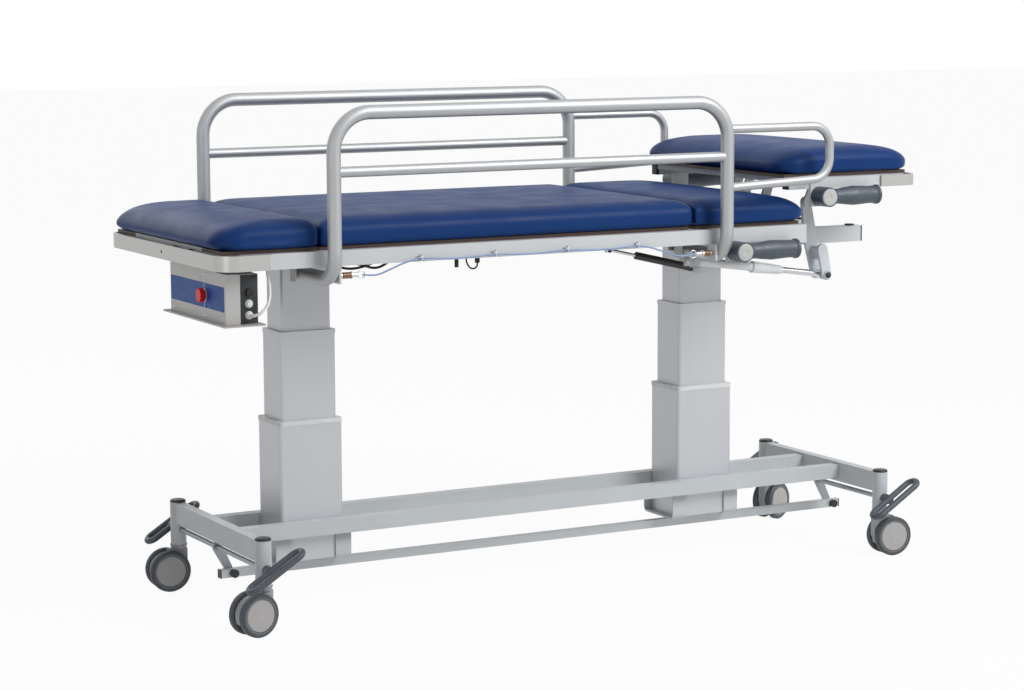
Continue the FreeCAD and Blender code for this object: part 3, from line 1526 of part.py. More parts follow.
for side_name, side in SIDES:
    keep(on_side(side, lambda: grip("HeadGrip", S.head_grip_x, S.head_grip_z, S.head_grip_end,
                                    S.head_side_outer)),
         f"grip_head_{side_name}")


# Head actuator between the frame and the near lever's foot

drive_start = (S.drive_x, S.drive_z)
drive_reach = distance(drive_start, foot_pin)
tube_end = float(S.drive_tube_length)
body_end = float(S.drive_length)
drive_back = round_bar("x", (0, 0), S.drive_tube, float(S.drive_tube) - 2, tube_end)
drive_eye = round_bar("y", (0, 0), S.drive_tube, -float(S.drive_tube), float(S.drive_tube))
drive_front = Part.makeCone(float(S.drive_housing), float(S.drive_nose), body_end - tube_end,
                            Vector(tube_end, 0, 0), Vector(1, 0, 0))
drive_body = drive_back.multiFuse([drive_eye, drive_front])
drive_body = drive_body.cut(round_bar("x", (0, 0), S.drive_rod + S.running_gap, S.drive_bore_start,
                                      body_end + 1))
keep(shape_part(along_line(drive_start, foot_pin, S.drive_y, drive_body)), "actuator_body")

drive_rod = round_bar("x", (0, 0), S.drive_rod, S.drive_rod_start, drive_reach - float(S.drive_eye) + 2)
rod_eye = round_bar("y", (drive_reach, 0), S.drive_eye, -float(S.drive_eye_half), float(S.drive_eye_half))
drive_rod = drive_rod.fuse(rod_eye)
drive_rod = drive_rod.cut(round_bar("y", (drive_reach, 0), S.foot_pin + S.running_gap,
                                    -S.drive_eye, S.drive_eye))
keep(shape_part(along_line(drive_start, foot_pin, S.drive_y, drive_rod)), "actuator_rod")


# Control box, shelf and stop knob

casing = plate("Casing", "xy", [
    (S.box_front, S.box_far),
    (S.box_front, S.box_near + S.box_bevel / 2),
    (S.box_front + S.box_bevel, S.box_near),
    (S.box_back, S.box_near),
    (S.box_back, S.box_far),
], S.box_low, S.box_high)
panel_recess = box((S.box_front - 1, S.box_front + S.panel_wall), (S.panel_near, S.panel_far),
                   (S.panel_low, S.panel_high))
knob_bore = rod("x", (S.knob_y, S.knob_z), S.knob_neck + S.running_gap, S.box_front - 1,
                S.box_front + S.knob_depth + S.knob_travel)
panel = cut(box((S.box_front, S.box_front + S.panel_wall), (S.panel_near, S.panel_far),
                (S.panel_low, S.panel_high)), knob_bore)
sockets = []
for i in range(int(float(S.socket_count))):
    height = S.socket_low + S.socket_pitch * i
    socket = cone("y", (S.socket_x, height), S.socket_radius - S.socket_taper, S.socket_radius,
                  S.box_near - S.socket_reach, S.box_near)
    sockets.append(socket)
casing_shell = cut(casing.body, panel_recess, knob_bore)
keep(group(casing_shell, panel, *sockets), "control_box")

knob = Sketched("StopKnob")
knob_drawing = knob.sketch("yz", S.box_front - S.knob_travel - S.knob_depth / 2)
circle(knob_drawing, (S.knob_y, S.knob_z), S.knob_radius)
knob.pad(knob_drawing, S.knob_depth / 2)
flutes = []
flute_radius = float(S.knob_radius) / 6
flute_count = int(float(S.knob_flutes))
for i in range(flute_count):
    angle = 2 * math.pi * i / flute_count
    flute_at = (S.knob_y + S.knob_radius * math.cos(angle), S.knob_z + S.knob_radius * math.sin(angle))
    flutes.append(rod("x", flute_at, flute_radius, S.box_front - S.knob_depth, S.box_front))
knob_neck = rod("x", (S.knob_y, S.knob_z), S.knob_neck, S.box_front - S.knob_travel - 1,
                S.box_front + S.knob_depth)
keep(fuse(cut(knob.body, *flutes), knob_neck), "stop_knob")

shelf = box((S.shelf_left, S.shelf_right), (S.shelf_near, S.shelf_far), (S.box_low - S.shelf_wall, S.box_low))
hanger_y = (-S.hanger_near, -S.hanger_far)
hanger = box((S.box_back, S.box_back + S.hanger_wall), hanger_y, (S.box_low, S.cross_bottom))
flange = box((S.left_end_cross_x - S.cross_width / 2, S.box_back), hanger_y,
             (S.cross_bottom - S.hanger_wall, S.cross_bottom))
keep(fuse(shelf, hanger, flange), "control_shelf")


# White cord of the control box: out of the lowest socket, round and up to the frame

cord_y = float(S.box_near - S.socket_reach)
cord_x = float(S.socket_x)
cord_z = float(S.socket_low)
cord_points = [
    (cord_x, cord_y, cord_z), (cord_x, cord_y - 14, cord_z), (cord_x + 14, cord_y - 24, cord_z + 5),
    (cord_x + 32, cord_y - 22, cord_z + 20), (cord_x + 43, cord_y - 12, cord_z + 42),
    (cord_x + 46, cord_y - 2, cord_z + 66), (cord_x + 45, cord_y + 6, cord_z + 88),
    (cord_x + 45, cord_y + 6, float(S.cross_bottom)),
]
cord_bends = soft_radii(cord_points)
print("control cord radii", [round(radius, 1) for radius in cord_bends])
keep(shape_part(bent_tube(cord_points, cord_bends, S.cord_radius)), "control_cord")


# Junction plate with its peg, and two short cable loops, below the frame

junction = box((S.junction_x - S.junction_half, S.junction_x + S.junction_half),
               (S.junction_near, S.junction_far), (S.frame_bottom - S.junction_height, S.frame_bottom))
junction_low = S.frame_bottom - S.junction_height
peg = rod("z", (S.junction_x - S.junction_half + S.peg_inset, S.junction_near + S.peg_margin), S.peg_radius,
          junction_low - S.peg_drop, junction_low)
plug_at = (S.junction_x + S.junction_half - S.peg_inset, S.junction_near + S.peg_margin)
lead_plug = rod("z", plug_at, S.lead_plug_radius, junction_low - S.lead_plug_drop, junction_low)
plug_x = float(plug_at[0])
plug_y = float(plug_at[1])
plug_z = float(junction_low - S.lead_plug_drop)
lead_points = [(plug_x, plug_y, plug_z), (plug_x, plug_y, plug_z - 8), (plug_x - 9, plug_y, plug_z - 15),
               (plug_x - 20, plug_y, plug_z - 12), (plug_x - 27, plug_y, plug_z - 2),
               (plug_x - 30, plug_y, plug_z + 7), (plug_x - 30, plug_y, float(junction_low))]
lead = shape_part(bent_tube(lead_points, soft_radii(lead_points), S.lead_radius))
loops = []
clip_z = float(S.cross_bottom) - float(S.cable_radius) - float(S.slide_gap)
cable_left = float(S.rail_left)
cable_right = float(S.middle_left_cross_x)
for cable_y, dips in (
    (-138.0, ((40, 2), (92, 22), (150, 38), (198, 30), (243, 8))),
    (-126.0, ((52, 3), (112, 12), (172, 26), (224, 42), (262, 22))),
):
    route = [(cable_left, cable_y, clip_z)]
    for step, drop in dips:
        route.append((cable_left + step, cable_y, clip_z - drop))
    route.append((cable_right, cable_y, clip_z))
    loops.append(shape_part(bent_tube(route, soft_radii(route), S.cable_radius)))
keep(group(junction, peg, lead_plug, lead, *loops, *stub_ends), "frame_cables")


# Check every object, then write one file for each sub-part

doc.recompute()
for item in doc.Objects:
    bad = [state for state in item.State if state in ("Invalid", "Error")]
    if bad:
        raise RuntimeError(f"{item.Name} ({item.Label}) is {bad}")
for item in sub_parts:
    if item.Shape.isNull() or not item.Shape.isValid():
        raise RuntimeError(f"{item.Label} has no valid shape")
for item in sub_parts:
    item.Shape.exportStep(f"parts/{item.Label}.step")
limits = Part.makeCompound([item.Shape for item in sub_parts]).optimalBoundingBox(False)
print(len(sub_parts), "nodes, corners", [round(v, 1) for v in (limits.XMin, limits.YMin, limits.ZMin)],
      [round(v, 1) for v in (limits.XMax, limits.YMax, limits.ZMax)])
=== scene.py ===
import json
import math

import bmesh
import bpy
from mathutils import Matrix, Vector


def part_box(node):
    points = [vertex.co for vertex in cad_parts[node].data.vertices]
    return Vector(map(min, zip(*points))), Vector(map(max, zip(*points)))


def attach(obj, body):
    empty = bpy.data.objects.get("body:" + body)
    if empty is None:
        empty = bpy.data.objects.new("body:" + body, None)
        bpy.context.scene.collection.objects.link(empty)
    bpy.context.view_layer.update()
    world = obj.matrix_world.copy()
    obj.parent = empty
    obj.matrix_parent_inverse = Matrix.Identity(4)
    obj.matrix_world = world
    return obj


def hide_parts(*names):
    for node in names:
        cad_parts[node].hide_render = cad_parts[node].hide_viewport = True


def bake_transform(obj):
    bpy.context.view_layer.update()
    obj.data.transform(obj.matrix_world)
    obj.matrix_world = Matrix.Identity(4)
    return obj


bl_info = {
    "name": "Examination table finishes",
    "version": (1, 0, 0),
    "blender": (4, 5, 0),
    "location": "3D View > Sidebar > Table",
    "description": "Dresses the examination table: upholstery, paint, metal and small fittings",
    "category": "Object",
}

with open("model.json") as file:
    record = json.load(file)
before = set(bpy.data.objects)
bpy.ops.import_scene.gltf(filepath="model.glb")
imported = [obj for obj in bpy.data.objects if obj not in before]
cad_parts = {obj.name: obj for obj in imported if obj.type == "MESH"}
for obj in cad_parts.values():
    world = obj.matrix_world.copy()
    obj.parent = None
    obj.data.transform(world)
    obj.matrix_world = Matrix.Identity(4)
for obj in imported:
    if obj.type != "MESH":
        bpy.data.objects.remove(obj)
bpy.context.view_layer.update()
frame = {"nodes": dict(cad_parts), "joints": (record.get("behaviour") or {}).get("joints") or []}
NODES = frame["nodes"]
JOINTS = {joint["name"]: joint for joint in frame["joints"]}

MM = 0.001
SHARP_ANGLE = math.radians(38)
CORNERS = ("fl", "bl", "fr", "br")
SIDES = (("near", -1), ("far", 1))
ENDS = ("left", "right")
SUNK = 0.2  # how far small fittings reach into the face they sit on, in millimetres
LOOKS = {}  # the finishes that more than one step uses, by name


# Settings that a user would change

def linear(value):
    """One channel of a colour as the eye sees it, from 0 to 255, as light from 0 to 1."""
    share = value / 255
    return share / 12.92 if share <= 0.04045 else ((share + 0.055) / 1.055) ** 2.4


def colour(name, description, red, green, blue):
    """A colour setting."""
    return bpy.props.FloatVectorProperty(
        name=name, description=description, subtype="COLOR", size=3, min=0.0, max=1.0,
        default=(linear(red), linear(green), linear(blue)))


def length(name, description, millimetres):
    """A length setting."""
    return bpy.props.FloatProperty(
        name=name, description=description, unit="LENGTH", subtype="DISTANCE", default=millimetres * MM)


class TableColours(bpy.types.PropertyGroup):
    """The colour of each finish."""
    vinyl: colour("Vinyl", "Upholstery of the pads", 17, 52, 106)
    satin: colour("Satin tube", "Bent tubes of the side rails", 172, 174, 176)
    frame: colour("Frame paint", "Top frame, head frame and shelf", 198, 201, 203)
    base: colour("Base paint", "Wheeled base", 190, 195, 198)
    column: colour("Columns", "Anodised lifting columns", 192, 194, 198)
    rim: colour("Column rims", "Guide rings of the columns", 214, 216, 216)
    steel: colour("Bright steel", "Plated rods, latches and pins", 200, 202, 206)
    bumper: colour("Bumper steel", "Flat bars round both ends", 186, 185, 183)
    shelf: colour("Shelf", "Shelf below the control box", 168, 166, 164)
    fork: colour("Castor forks", "Housings between the castor wheels", 160, 163, 166)
    tread: colour("Treads", "Castor wheels", 66, 71, 76)
    ring: colour("Wheel rings", "Inner ring of the castor wheels", 104, 108, 112)
    disc: colour("Wheel discs", "Discs in the castor wheels", 170, 167, 167)
    brake: colour("Pedals", "Plastic coating of the brake pedals", 70, 76, 84)
    shaft: colour("Brake shafts", "Cross shafts and cranks of the brake", 150, 154, 158)
    black: colour("Black plastic", "Caps, plugs and cables", 30, 30, 32)
    board: colour("Boards", "Boards below the pads", 62, 42, 34)
    casing: colour("Control box", "Casing of the control box", 206, 205, 203)
    panel: colour("Panel", "Front panel of the control box", 10, 74, 152)
    plate: colour("End plate", "Dark near side of the control box", 40, 44, 48)
    stop: colour("Stop knob", "Stop knob on the control box", 232, 30, 40)
    sheath: colour("Wire sheath", "Release wires of the side rails", 128, 150, 190)
    cord: colour("Control cord", "Cord and plugs of the control box", 222, 222, 220)
    grip: colour("Grips", "Rubber of the hand grips", 66, 76, 86)
    grip_disc: colour("Grip discs", "Round ends of the hand grips", 178, 180, 176)
    lever: colour("Levers", "Levers and arms of the head section", 200, 206, 211)
    drive: colour("Actuator", "Housing of the head actuator", 226, 228, 230)
    gas: colour("Gas spring", "Cylinder of the gas spring", 36, 31, 31)
    copper: colour("Latch springs", "Coils of the rail latches", 156, 128, 108)


class TableSizes(bpy.types.PropertyGroup):
    """The sizes of the soft pieces and small fittings."""
    pad_inset: length("Pad inset", "How far the foam stays inside its cover before it swells", 4)
    pad_meeting: length("Pad meeting gap", "How far a pad stays back from the pad beside it", 1.5)
    pad_corner: length("Pad corner", "Radius of a pad's corners, seen from above", 64)
    pad_roll: length("Pad roll", "Radius of the foam's edges", 9)
    pad_end: length("Pad end", "How far a pad's free end slopes down", 150)
    pad_side: length("Pad side", "How far a pad's long side slopes down", 52)
    pad_seam: length("Pad seam", "How far a pad slopes down towards the pad beside it", 16)
    pad_tuck: length("Pad tuck", "How far the underside rises at a free end", 11)
    pad_crown: length("Pad crown", "How far the middle of a pad stands above its edge", 3)
    pad_voxel: length("Pad mesh", "Size of one mesh cell while a pad is blown up", 7)
    screw_head: length("Screw head", "Radius of the casing's screw heads", 2.6)
    disc_radius: length("Wheel disc", "Radius of the disc in a castor wheel", 36.5)
    ring_radius: length("Wheel ring", "Radius of the paler ring round the disc", 41)


# Surface finishes

class Field:
    """A value that varies over a surface. Arithmetic on it adds the nodes that work it out."""

    def __init__(self, look, socket):
        self.look = look
        self.socket = socket

    def __add__(self, other):
        return self.look.maths("ADD", self, other)

    __radd__ = __add__

    def __sub__(self, other):
        return self.look.maths("SUBTRACT", self, other)

    def __rsub__(self, other):
        return self.look.maths("SUBTRACT", other, self)

    def __mul__(self, other):
        return self.look.maths("MULTIPLY", self, other)

    __rmul__ = __mul__


def opaque(shade):
    """A colour with full alpha."""
    return (*shade, 1.0)


class Look:
    """A surface finish: a material with its shader, built up node by node."""

    def __init__(self, name, base, roughness, metal=0.0, gloss=0.5):
        self.material = bpy.data.materials.new(name)
        self.material.use_nodes = True
        self.tree = self.material.node_tree
        self.shader = self.tree.nodes["Principled BSDF"]
        self.base = opaque(base)
        self.set(self.shader, {"Base Color": self.base, "Roughness": roughness, "Metallic": metal,
                               "Specular IOR Level": gloss})

    def set(self, node, values):
        """Gives a node's sockets their values or links."""
        for name, value in values.items():
            if isinstance(value, Field):
                self.tree.links.new(value.socket, node.inputs[name])
            else:
                node.inputs[name].default_value = value

    def node(self, kind, values, output=0, **settings):
        """Adds a node and returns one of its outputs."""
        made = self.tree.nodes.new("ShaderNode" + kind)
        for name, value in settings.items():
            setattr(made, name, value)
        self.set(made, values)
        return Field(self, made.outputs[output])

    def maths(self, operation, *values):
        """The result of a Math node."""
        return self.node("Math", dict(enumerate(values)), operation=operation)

    def place(self, stretch=(1, 1, 1)):
        """The point on the piece, stretched along each axis."""
        at = self.node("TexCoord", {}, "Object")
        return self.node("Mapping", {"Vector": at, "Scale": stretch})

    def noise(self, cell, stretch=(1, 1, 1), detail=2.0):
        """Soft random patches about one cell wide."""
        return self.node("TexNoise", {"Vector": self.place(stretch), "Scale": 1 / cell, "Detail": detail})

    def ramp(self, field, low, high, start=0.0, end=1.0):
        """Start below low, end above high, and a smooth change between them."""
        return self.node("MapRange", {"Value": field, "From Min": low, "From Max": high,
                                      "To Min": start, "To Max": end}, interpolation_type="SMOOTHSTEP")

    def above(self, field, edge, blur):
        """A mask that is 0 up to an edge and 1 past it."""
        return self.ramp(field, edge, edge + blur)

    def below(self, field, edge, blur):
        """A mask that is 1 up to an edge and 0 past it."""
        return self.ramp(field, edge, edge + blur, 1.0, 0.0)

    def mix(self, share, first, second):
        """A colour between two."""
        return self.node("Mix", {0: share, 6: first, 7: second}, 2, data_type="RGBA")

    def tone(self, factor):
        """The base colour made lighter or darker."""
        return opaque(min(1.0, channel * factor) for channel in self.base[:3])

    def part(self, axis):
        """One coordinate of the point on the piece."""
        at = self.node("TexCoord", {}, "Object")
        return self.node("SeparateXYZ", {"Vector": at}, "XYZ".index(axis))

    def mottle(self, cell, depth, stretch=(1, 1, 1)):
        """Slight patches of darker and lighter base colour."""
        patches = self.ramp(self.noise(cell, stretch, 3.0), 0.3, 0.7)
        shade = self.mix(patches, self.tone(1 - depth), self.tone(1 + depth))
        self.set(self.shader, {"Base Color": shade})

    def polish(self, cell, low, high, stretch=(1, 1, 1)):
        """Roughness that varies in patches."""
        patches = self.ramp(self.noise(cell, stretch), 0.3, 0.7, low, high)
        self.set(self.shader, {"Roughness": patches})

    def bump(self, height, distance, strength):
        """Fine relief in the surface."""
        relief = self.node("Bump", {"Height": height, "Distance": distance, "Strength": strength})
        self.set(self.shader, {"Normal": relief})


def colours():
    """The colour settings."""
    return bpy.context.scene.table_colours


def sizes():
    """The size settings."""
    return bpy.context.scene.table_sizes


def painted(name, base):
    """Satin powder coat with a fine orange-peel skin."""
    roughness = 0.38
    look = Look(name, base, roughness)
    look.mottle(120 * MM, 0.018)
    look.polish(40 * MM, roughness - 0.04, roughness + 0.06)
    look.bump(look.noise(1.4 * MM, detail=1.0), 0.06 * MM, 0.25)
    return look


def brushed(name, base, cell, stretch, roughness, metal, depth):
    """Metal with fine lines along one direction."""
    look = Look(name, base, roughness, metal)
    look.mottle(cell, depth, stretch)
    look.polish(cell, roughness - 0.03, roughness + 0.04, stretch)
    look.bump(look.noise(cell, stretch), 0.02 * MM, 0.2)
    return look


def satin(name, base, roughness, metal):
    """Satin anodised metal with a very fine, even skin."""
    look = Look(name, base, roughness, metal)
    look.mottle(180 * MM, 0.012)
    look.polish(90 * MM, roughness - 0.02, roughness + 0.03)
    look.bump(look.noise(0.5 * MM, detail=1.0), 0.01 * MM, 0.15)
    return look


def moulded(name, base, roughness, gloss=0.4):
    """Moulded plastic or rubber with a fine grain."""
    look = Look(name, base, roughness, gloss=gloss)
    look.mottle(40 * MM, 0.04)
    look.polish(15 * MM, roughness - 0.05, roughness + 0.06)
    look.bump(look.noise(0.7 * MM), 0.06 * MM, 0.4)
    return look


def vinyl_look():
    """Upholstery vinyl: faint leather grain, soft gloss and slow waves where the foam gives."""
    look = Look("pad vinyl", colours().vinyl, 0.46, gloss=0.12)
    look.mottle(220 * MM, 0.04)
    look.polish(80 * MM, 0.43, 0.5)
    grain_cell = 1.3 * MM
    cells = look.node("TexVoronoi", {"Vector": look.place(), "Scale": 1 / grain_cell},
                      feature="DISTANCE_TO_EDGE")
    grain = look.ramp(cells, 0.0, 0.25)
    waves = look.noise(110 * MM, detail=1.0)
    look.bump(grain * 0.05 + waves * 3.0, 0.3 * MM, 0.4)
    return look


def board_look():
    """Dark sealed board with a faint run of grain, and a pale band in the middle of the foot end's edge."""
    look = Look("board", colours().board, 0.5)
    foot_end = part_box("deck_boards")[0].x
    band_half = 205 * MM
    band = (look.below(look.part("X"), foot_end + 0.4 * MM, 0.2 * MM)
            * look.below(look.maths("ABSOLUTE", look.part("Y")), band_half, 1 * MM))
    grain = look.ramp(look.noise(14 * MM, (0.08, 1, 1), 3.0), 0.3, 0.7)
    wood = look.mix(grain, look.tone(0.75), look.tone(1.25))
    look.set(look.shader, {"Base Color": look.mix(band, wood, opaque(colours().frame))})
    look.polish(14 * MM, 0.42, 0.6, (0.08, 1, 1))
    look.bump(look.noise(6 * MM, (0.06, 1, 1)), 0.1 * MM, 0.4)
    return look


def wheel_look(corner):
    """Rubber wheels with a paler inner ring, whose outer faces hold a smooth pale disc."""
    joint = JOINTS["roll_" + corner]
    look = Look("wheel " + corner, colours().tread, 0.5)
    at = look.node("TexCoord", {}, "Object")
    arm = look.node("VectorMath", {0: at, 1: joint["pos_m"]}, operation="SUBTRACT")
    across = look.node("VectorMath", {0: arm, 1: joint["axis"]}, operation="CROSS_PRODUCT")
    reach = look.node("VectorMath", {0: across}, "Value", operation="LENGTH")
    along = look.node("VectorMath", {0: arm, 1: joint["axis"]}, "Value", operation="DOT_PRODUCT")
    outside = look.above(look.maths("ABSOLUTE", along), 20 * MM, 1 * MM)
    disc = look.below(reach, sizes().disc_radius, 0.4 * MM) * outside
    ring = look.below(reach, sizes().ring_radius, 1.5 * MM)
    dust = look.ramp(look.noise(9 * MM, detail=4.0), 0.35, 0.75)
    rubber = look.mix(dust, look.tone(0.92), look.tone(1.12))
    rubber = look.mix(ring, rubber, opaque(colours().ring))
    look.set(look.shader, {"Base Color": look.mix(disc, rubber, opaque(colours().disc)),
                           "Roughness": look.ramp(disc, 0.0, 1.0, 0.55, 0.36)})
    look.bump(look.noise(0.8 * MM) * (1 - disc), 0.08 * MM, 0.4)
    return look


def brake_look(end):
    """Plated shafts and crank with slate pedals outside the posts and a black cap on the crank pin."""
    c = colours()
    metal, roughness = 0.6, 0.36
    look = satin("brake steel " + end, c.shaft, roughness, metal)
    pedal_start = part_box("post_caps")[1].y - 2 * MM
    pedal = look.above(look.maths("ABSOLUTE", look.part("Y")), pedal_start, 0.2 * MM)
    cap_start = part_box("brake_bar")[0].y - 0.2 * MM
    cap_top = 112 * MM
    cap = (look.below(look.part("Y"), cap_start, 0.05 * MM)
           * look.below(look.part("Z"), cap_top, 0.2 * MM))
    dark = look.mix(cap, look.base, opaque(c.black))
    coat = look.maths("MAXIMUM", pedal, cap)
    look.set(look.shader, {"Base Color": look.mix(pedal, dark, opaque(c.brake)),
                           "Metallic": look.ramp(coat, 0.0, 1.0, metal, 0.0),
                           "Roughness": look.ramp(coat, 0.0, 1.0, roughness, 0.46)})
    return look


def bar_look():
    """Plated square bar with a black plug at each end."""
    metal, plug_length = 0.35, 3 * MM
    look = satin("link bar", colours().base, 0.4, metal)
    low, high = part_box("brake_bar")
    reach = look.maths("ABSOLUTE", look.part("X") - (low.x + high.x) / 2)
    plug = look.above(reach, (high.x - low.x) / 2 - plug_length - 0.1 * MM, 0.2 * MM)
    look.set(look.shader, {"Base Color": look.mix(plug, look.base, opaque(colours().black)),
                           "Metallic": look.ramp(plug, 0.0, 1.0, metal, 0.0)})
    return look


def grip_look():
    """Slate rubber grip with fine rings round its waist."""
    look = Look("grip rubber", colours().grip, 0.46)
    ring_pitch = 5 * MM
    rings = look.maths("SINE", look.part("X") * (2 * math.pi / ring_pitch))
    look.mottle(30 * MM, 0.05)
    look.polish(12 * MM, 0.41, 0.52)
    look.bump(rings, 0.08 * MM, 0.2)
    return look


def latch_look(leg_x):
    """Bright bolt with a copper-coloured coil between two distances from the rail's leg."""
    look = satin("latch steel", colours().steel, 0.28, 1.0)
    coil_start, coil_end, blur = 29 * MM, 50 * MM, 1 * MM
    from_leg = look.maths("ABSOLUTE", look.part("X") - leg_x)
    coil = look.above(from_leg, coil_start, blur) * look.below(from_leg, coil_end, blur)
    look.set(look.shader, {"Base Color": look.mix(coil, look.base, opaque(colours().copper))})
    return look


# Meshes

def new_piece(name, body, made, looks):
    """Turns a bmesh into a piece that rides on a body."""
    bmesh.ops.remove_doubles(made, verts=made.verts, dist=1e-6)
    bmesh.ops.recalc_face_normals(made, faces=made.faces)
    for face in made.faces:
        face.smooth = True
    for edge in made.edges:
        edge.smooth = edge.calc_face_angle(0.0) < SHARP_ANGLE
    mesh = bpy.data.meshes.new(name)
    made.to_mesh(mesh)
    made.free()
    item = bpy.data.objects.new(name, mesh)
    bpy.context.scene.collection.objects.link(item)
    for look in looks:
        mesh.materials.append(look.material)
    if body:
        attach(item, body)
    return item


def joined(parts):
    """One bmesh that holds all the parts."""
    whole = bmesh.new()
    for part in parts:
        mesh = bpy.data.meshes.new("part")
        part.to_mesh(mesh)
        part.free()
        whole.from_mesh(mesh)
        bpy.data.meshes.remove(mesh)
    return whole


def block(low, high):
    """A plain box between two corners, to be shaped further."""
    made = bmesh.new()
    place = Matrix.Translation((low + high) / 2) @ Matrix.Diagonal((*(high - low), 1))
    bmesh.ops.create_cube(made, size=1.0, matrix=place)
    return made


def round_edges(made, edges, radius, segments):
    """Bevels edges round."""
    bmesh.ops.bevel(made, geom=edges, offset=radius, offset_type="OFFSET", affect="EDGES",
                    segments=segments, profile=0.5, material=-1)


def relax(made):
    """Evens a mesh out a little."""
    bmesh.ops.smooth_vert(made, verts=made.verts, factor=0.5, use_axis_x=True, use_axis_y=True,
                          use_axis_z=True)


def slab(low, high, radius):
    """A block with all its edges rounded."""
    made = block(Vector(low), Vector(high))
    round_edges(made, list(made.edges), radius, 2)
    return made


def turned(profile, centre, axis, steps, index=0):
    """A shape turned about an axis; the profile holds radius and height along it in millimetres."""
    made = bmesh.new()
    points = [made.verts.new((radius * MM, 0, height * MM)) for radius, height in profile]
    edges = [made.edges.new(pair) for pair in zip(points, points[1:])]
    bmesh.ops.spin(made, geom=points + edges, cent=(0, 0, 0), axis=(0, 0, 1), angle=2 * math.pi,
                   steps=steps, use_merge=True, use_duplicate=False)
    bmesh.ops.remove_doubles(made, verts=made.verts, dist=1e-7)
    turn = Vector(axis).to_track_quat("Z", "Y").to_matrix().to_4x4()
    bmesh.ops.transform(made, matrix=Matrix.Translation(centre) @ turn, verts=made.verts)
    for face in made.faces:
        face.material_index = index
    return made


def holed_film(low, high, centre, radius):
    """A flat film across x with a round hole about a (y, z) centre."""
    made = bmesh.new()
    across = Matrix.Translation((low[0], *centre)) @ Matrix.Rotation(math.radians(90), 4, "Y")
    bmesh.ops.create_circle(made, cap_ends=False, segments=64, radius=radius, matrix=across)
    outline = ((low[1], low[2]), (high[1], low[2]), (high[1], high[2]), (low[1], high[2]))
    corners = [made.verts.new((low[0], y, z)) for y, z in outline]
    for pair in zip(corners, corners[1:] + corners[:1]):
        made.edges.new(pair)
    bmesh.ops.triangle_fill(made, use_beauty=True, edges=list(made.edges))
    grown = bmesh.ops.extrude_face_region(made, geom=list(made.faces))["geom"]
    bmesh.ops.translate(made, vec=(high[0] - low[0], 0, 0),
                        verts=[item for item in grown if isinstance(item, bmesh.types.BMVert)])
    return made


def screw(at, axis, radius, rise):
    """A low domed screw head with a round socket in it, its radius and rise in millimetres."""
    socket, bottom = radius * 0.45, rise * 0.35
    profile = ((0, bottom), (socket, bottom), (socket, rise), (radius * 0.75, rise * 0.9),
               (radius, rise * 0.4), (radius, -SUNK), (0, -SUNK))
    return turned(profile, at, axis, 24)


def dress(look, *names):
    """Gives CAD nodes a finish."""
    for name in names:
        NODES[name].data.materials.clear()
        NODES[name].data.materials.append(look.material)


# Upholstery

def pad_blank(low, high, free):
    """A foam block with rounded plan corners at its free ends and rolled edges."""
    size = sizes()
    made = block(low, high)
    free_ends = [x for x, is_free in zip((low.x, high.x), free) if is_free]

    def at_corner(edge):
        first, second = [vert.co for vert in edge.verts]
        upright = abs(first.z - second.z) > (high.z - low.z) / 2
        return upright and any(abs(first.x - x) < MM for x in free_ends)

    round_edges(made, [edge for edge in made.edges if at_corner(edge)], size.pad_corner, 10)
    for height in (low.z, high.z):
        rim = [edge for edge in made.edges
               if all(abs(vert.co.z - height) < 0.1 * MM for vert in edge.verts)]
        round_edges(made, rim, size.pad_roll, 4)
    return made


def taper(distance, span, edge):
    """The share of a pad's thickness that is left at a distance from its outline."""
    if distance >= span:
        return 1.0
    away = 1 - max(distance, 0.0) / span
    return edge + (1 - edge) * math.sqrt(1 - away * away)


def corner_cut(distance, radius):
    """How far a rounded corner's outline lies inside the square one, at a distance from its side."""
    away = max(0.0, radius - max(distance, 0.0))
    return radius - math.sqrt(radius * radius - away * away)


def shape_pad(made, low, high, free):
    """Slopes a pad down to its outline, tucks its free ends up and crowns its middle."""
    size = sizes()
    end_edge, side_edge, seam_edge = 0.34, 0.58, 0.9  # the thickness that is left at each outline
    tuck_reach, side_tuck = 30 * MM, 0.3
    middle = (low + high) / 2
    half = (high - low) / 2
    height = high.z - low.z

    def tucked(distance):
        return size.pad_tuck * max(0.0, 1 - max(distance, 0.0) / tuck_reach) ** 2

    for vert in made.verts:
        across = abs(vert.co.y - middle.y)
        along = abs(vert.co.x - middle.x)
        to_end = half.x - along
        to_side = half.y - across
        is_free = free[0] if vert.co.x < middle.x else free[1]
        if is_free:
            from_end = to_end - corner_cut(to_side, size.pad_corner)
            from_side = to_side - corner_cut(to_end, size.pad_corner)
            end_drop = 1 - taper(from_end, size.pad_end, end_edge)
        else:
            from_end = tuck_reach
            from_side = to_side
            end_drop = 1 - taper(to_end, size.pad_seam, seam_edge)
        side_drop = 1 - taper(from_side, size.pad_side, side_edge)
        left = 1 - (end_drop ** 4 + side_drop ** 4) ** 0.25
        lift = max(tucked(from_end), side_tuck * tucked(from_side))
        rise = max(0.0, (vert.co.z - low.z) / height)
        vert.co.z = low.z + lift + rise * (height * left - lift)
        crown = max(0.0, 1 - (across / half.y) ** 4) * max(0.0, 1 - (along / half.x) ** 6)
        vert.co.z += size.pad_crown * crown * rise
    relax(made)
    relax(made)
    for face in made.faces:
        face.smooth = True


def evaluated(item):
    """Works an object's modifiers into its mesh."""
    graph = bpy.context.evaluated_depsgraph_get()
    mesh = bpy.data.meshes.new_from_object(item.evaluated_get(graph))
    item.modifiers.clear()
    item.data = mesh


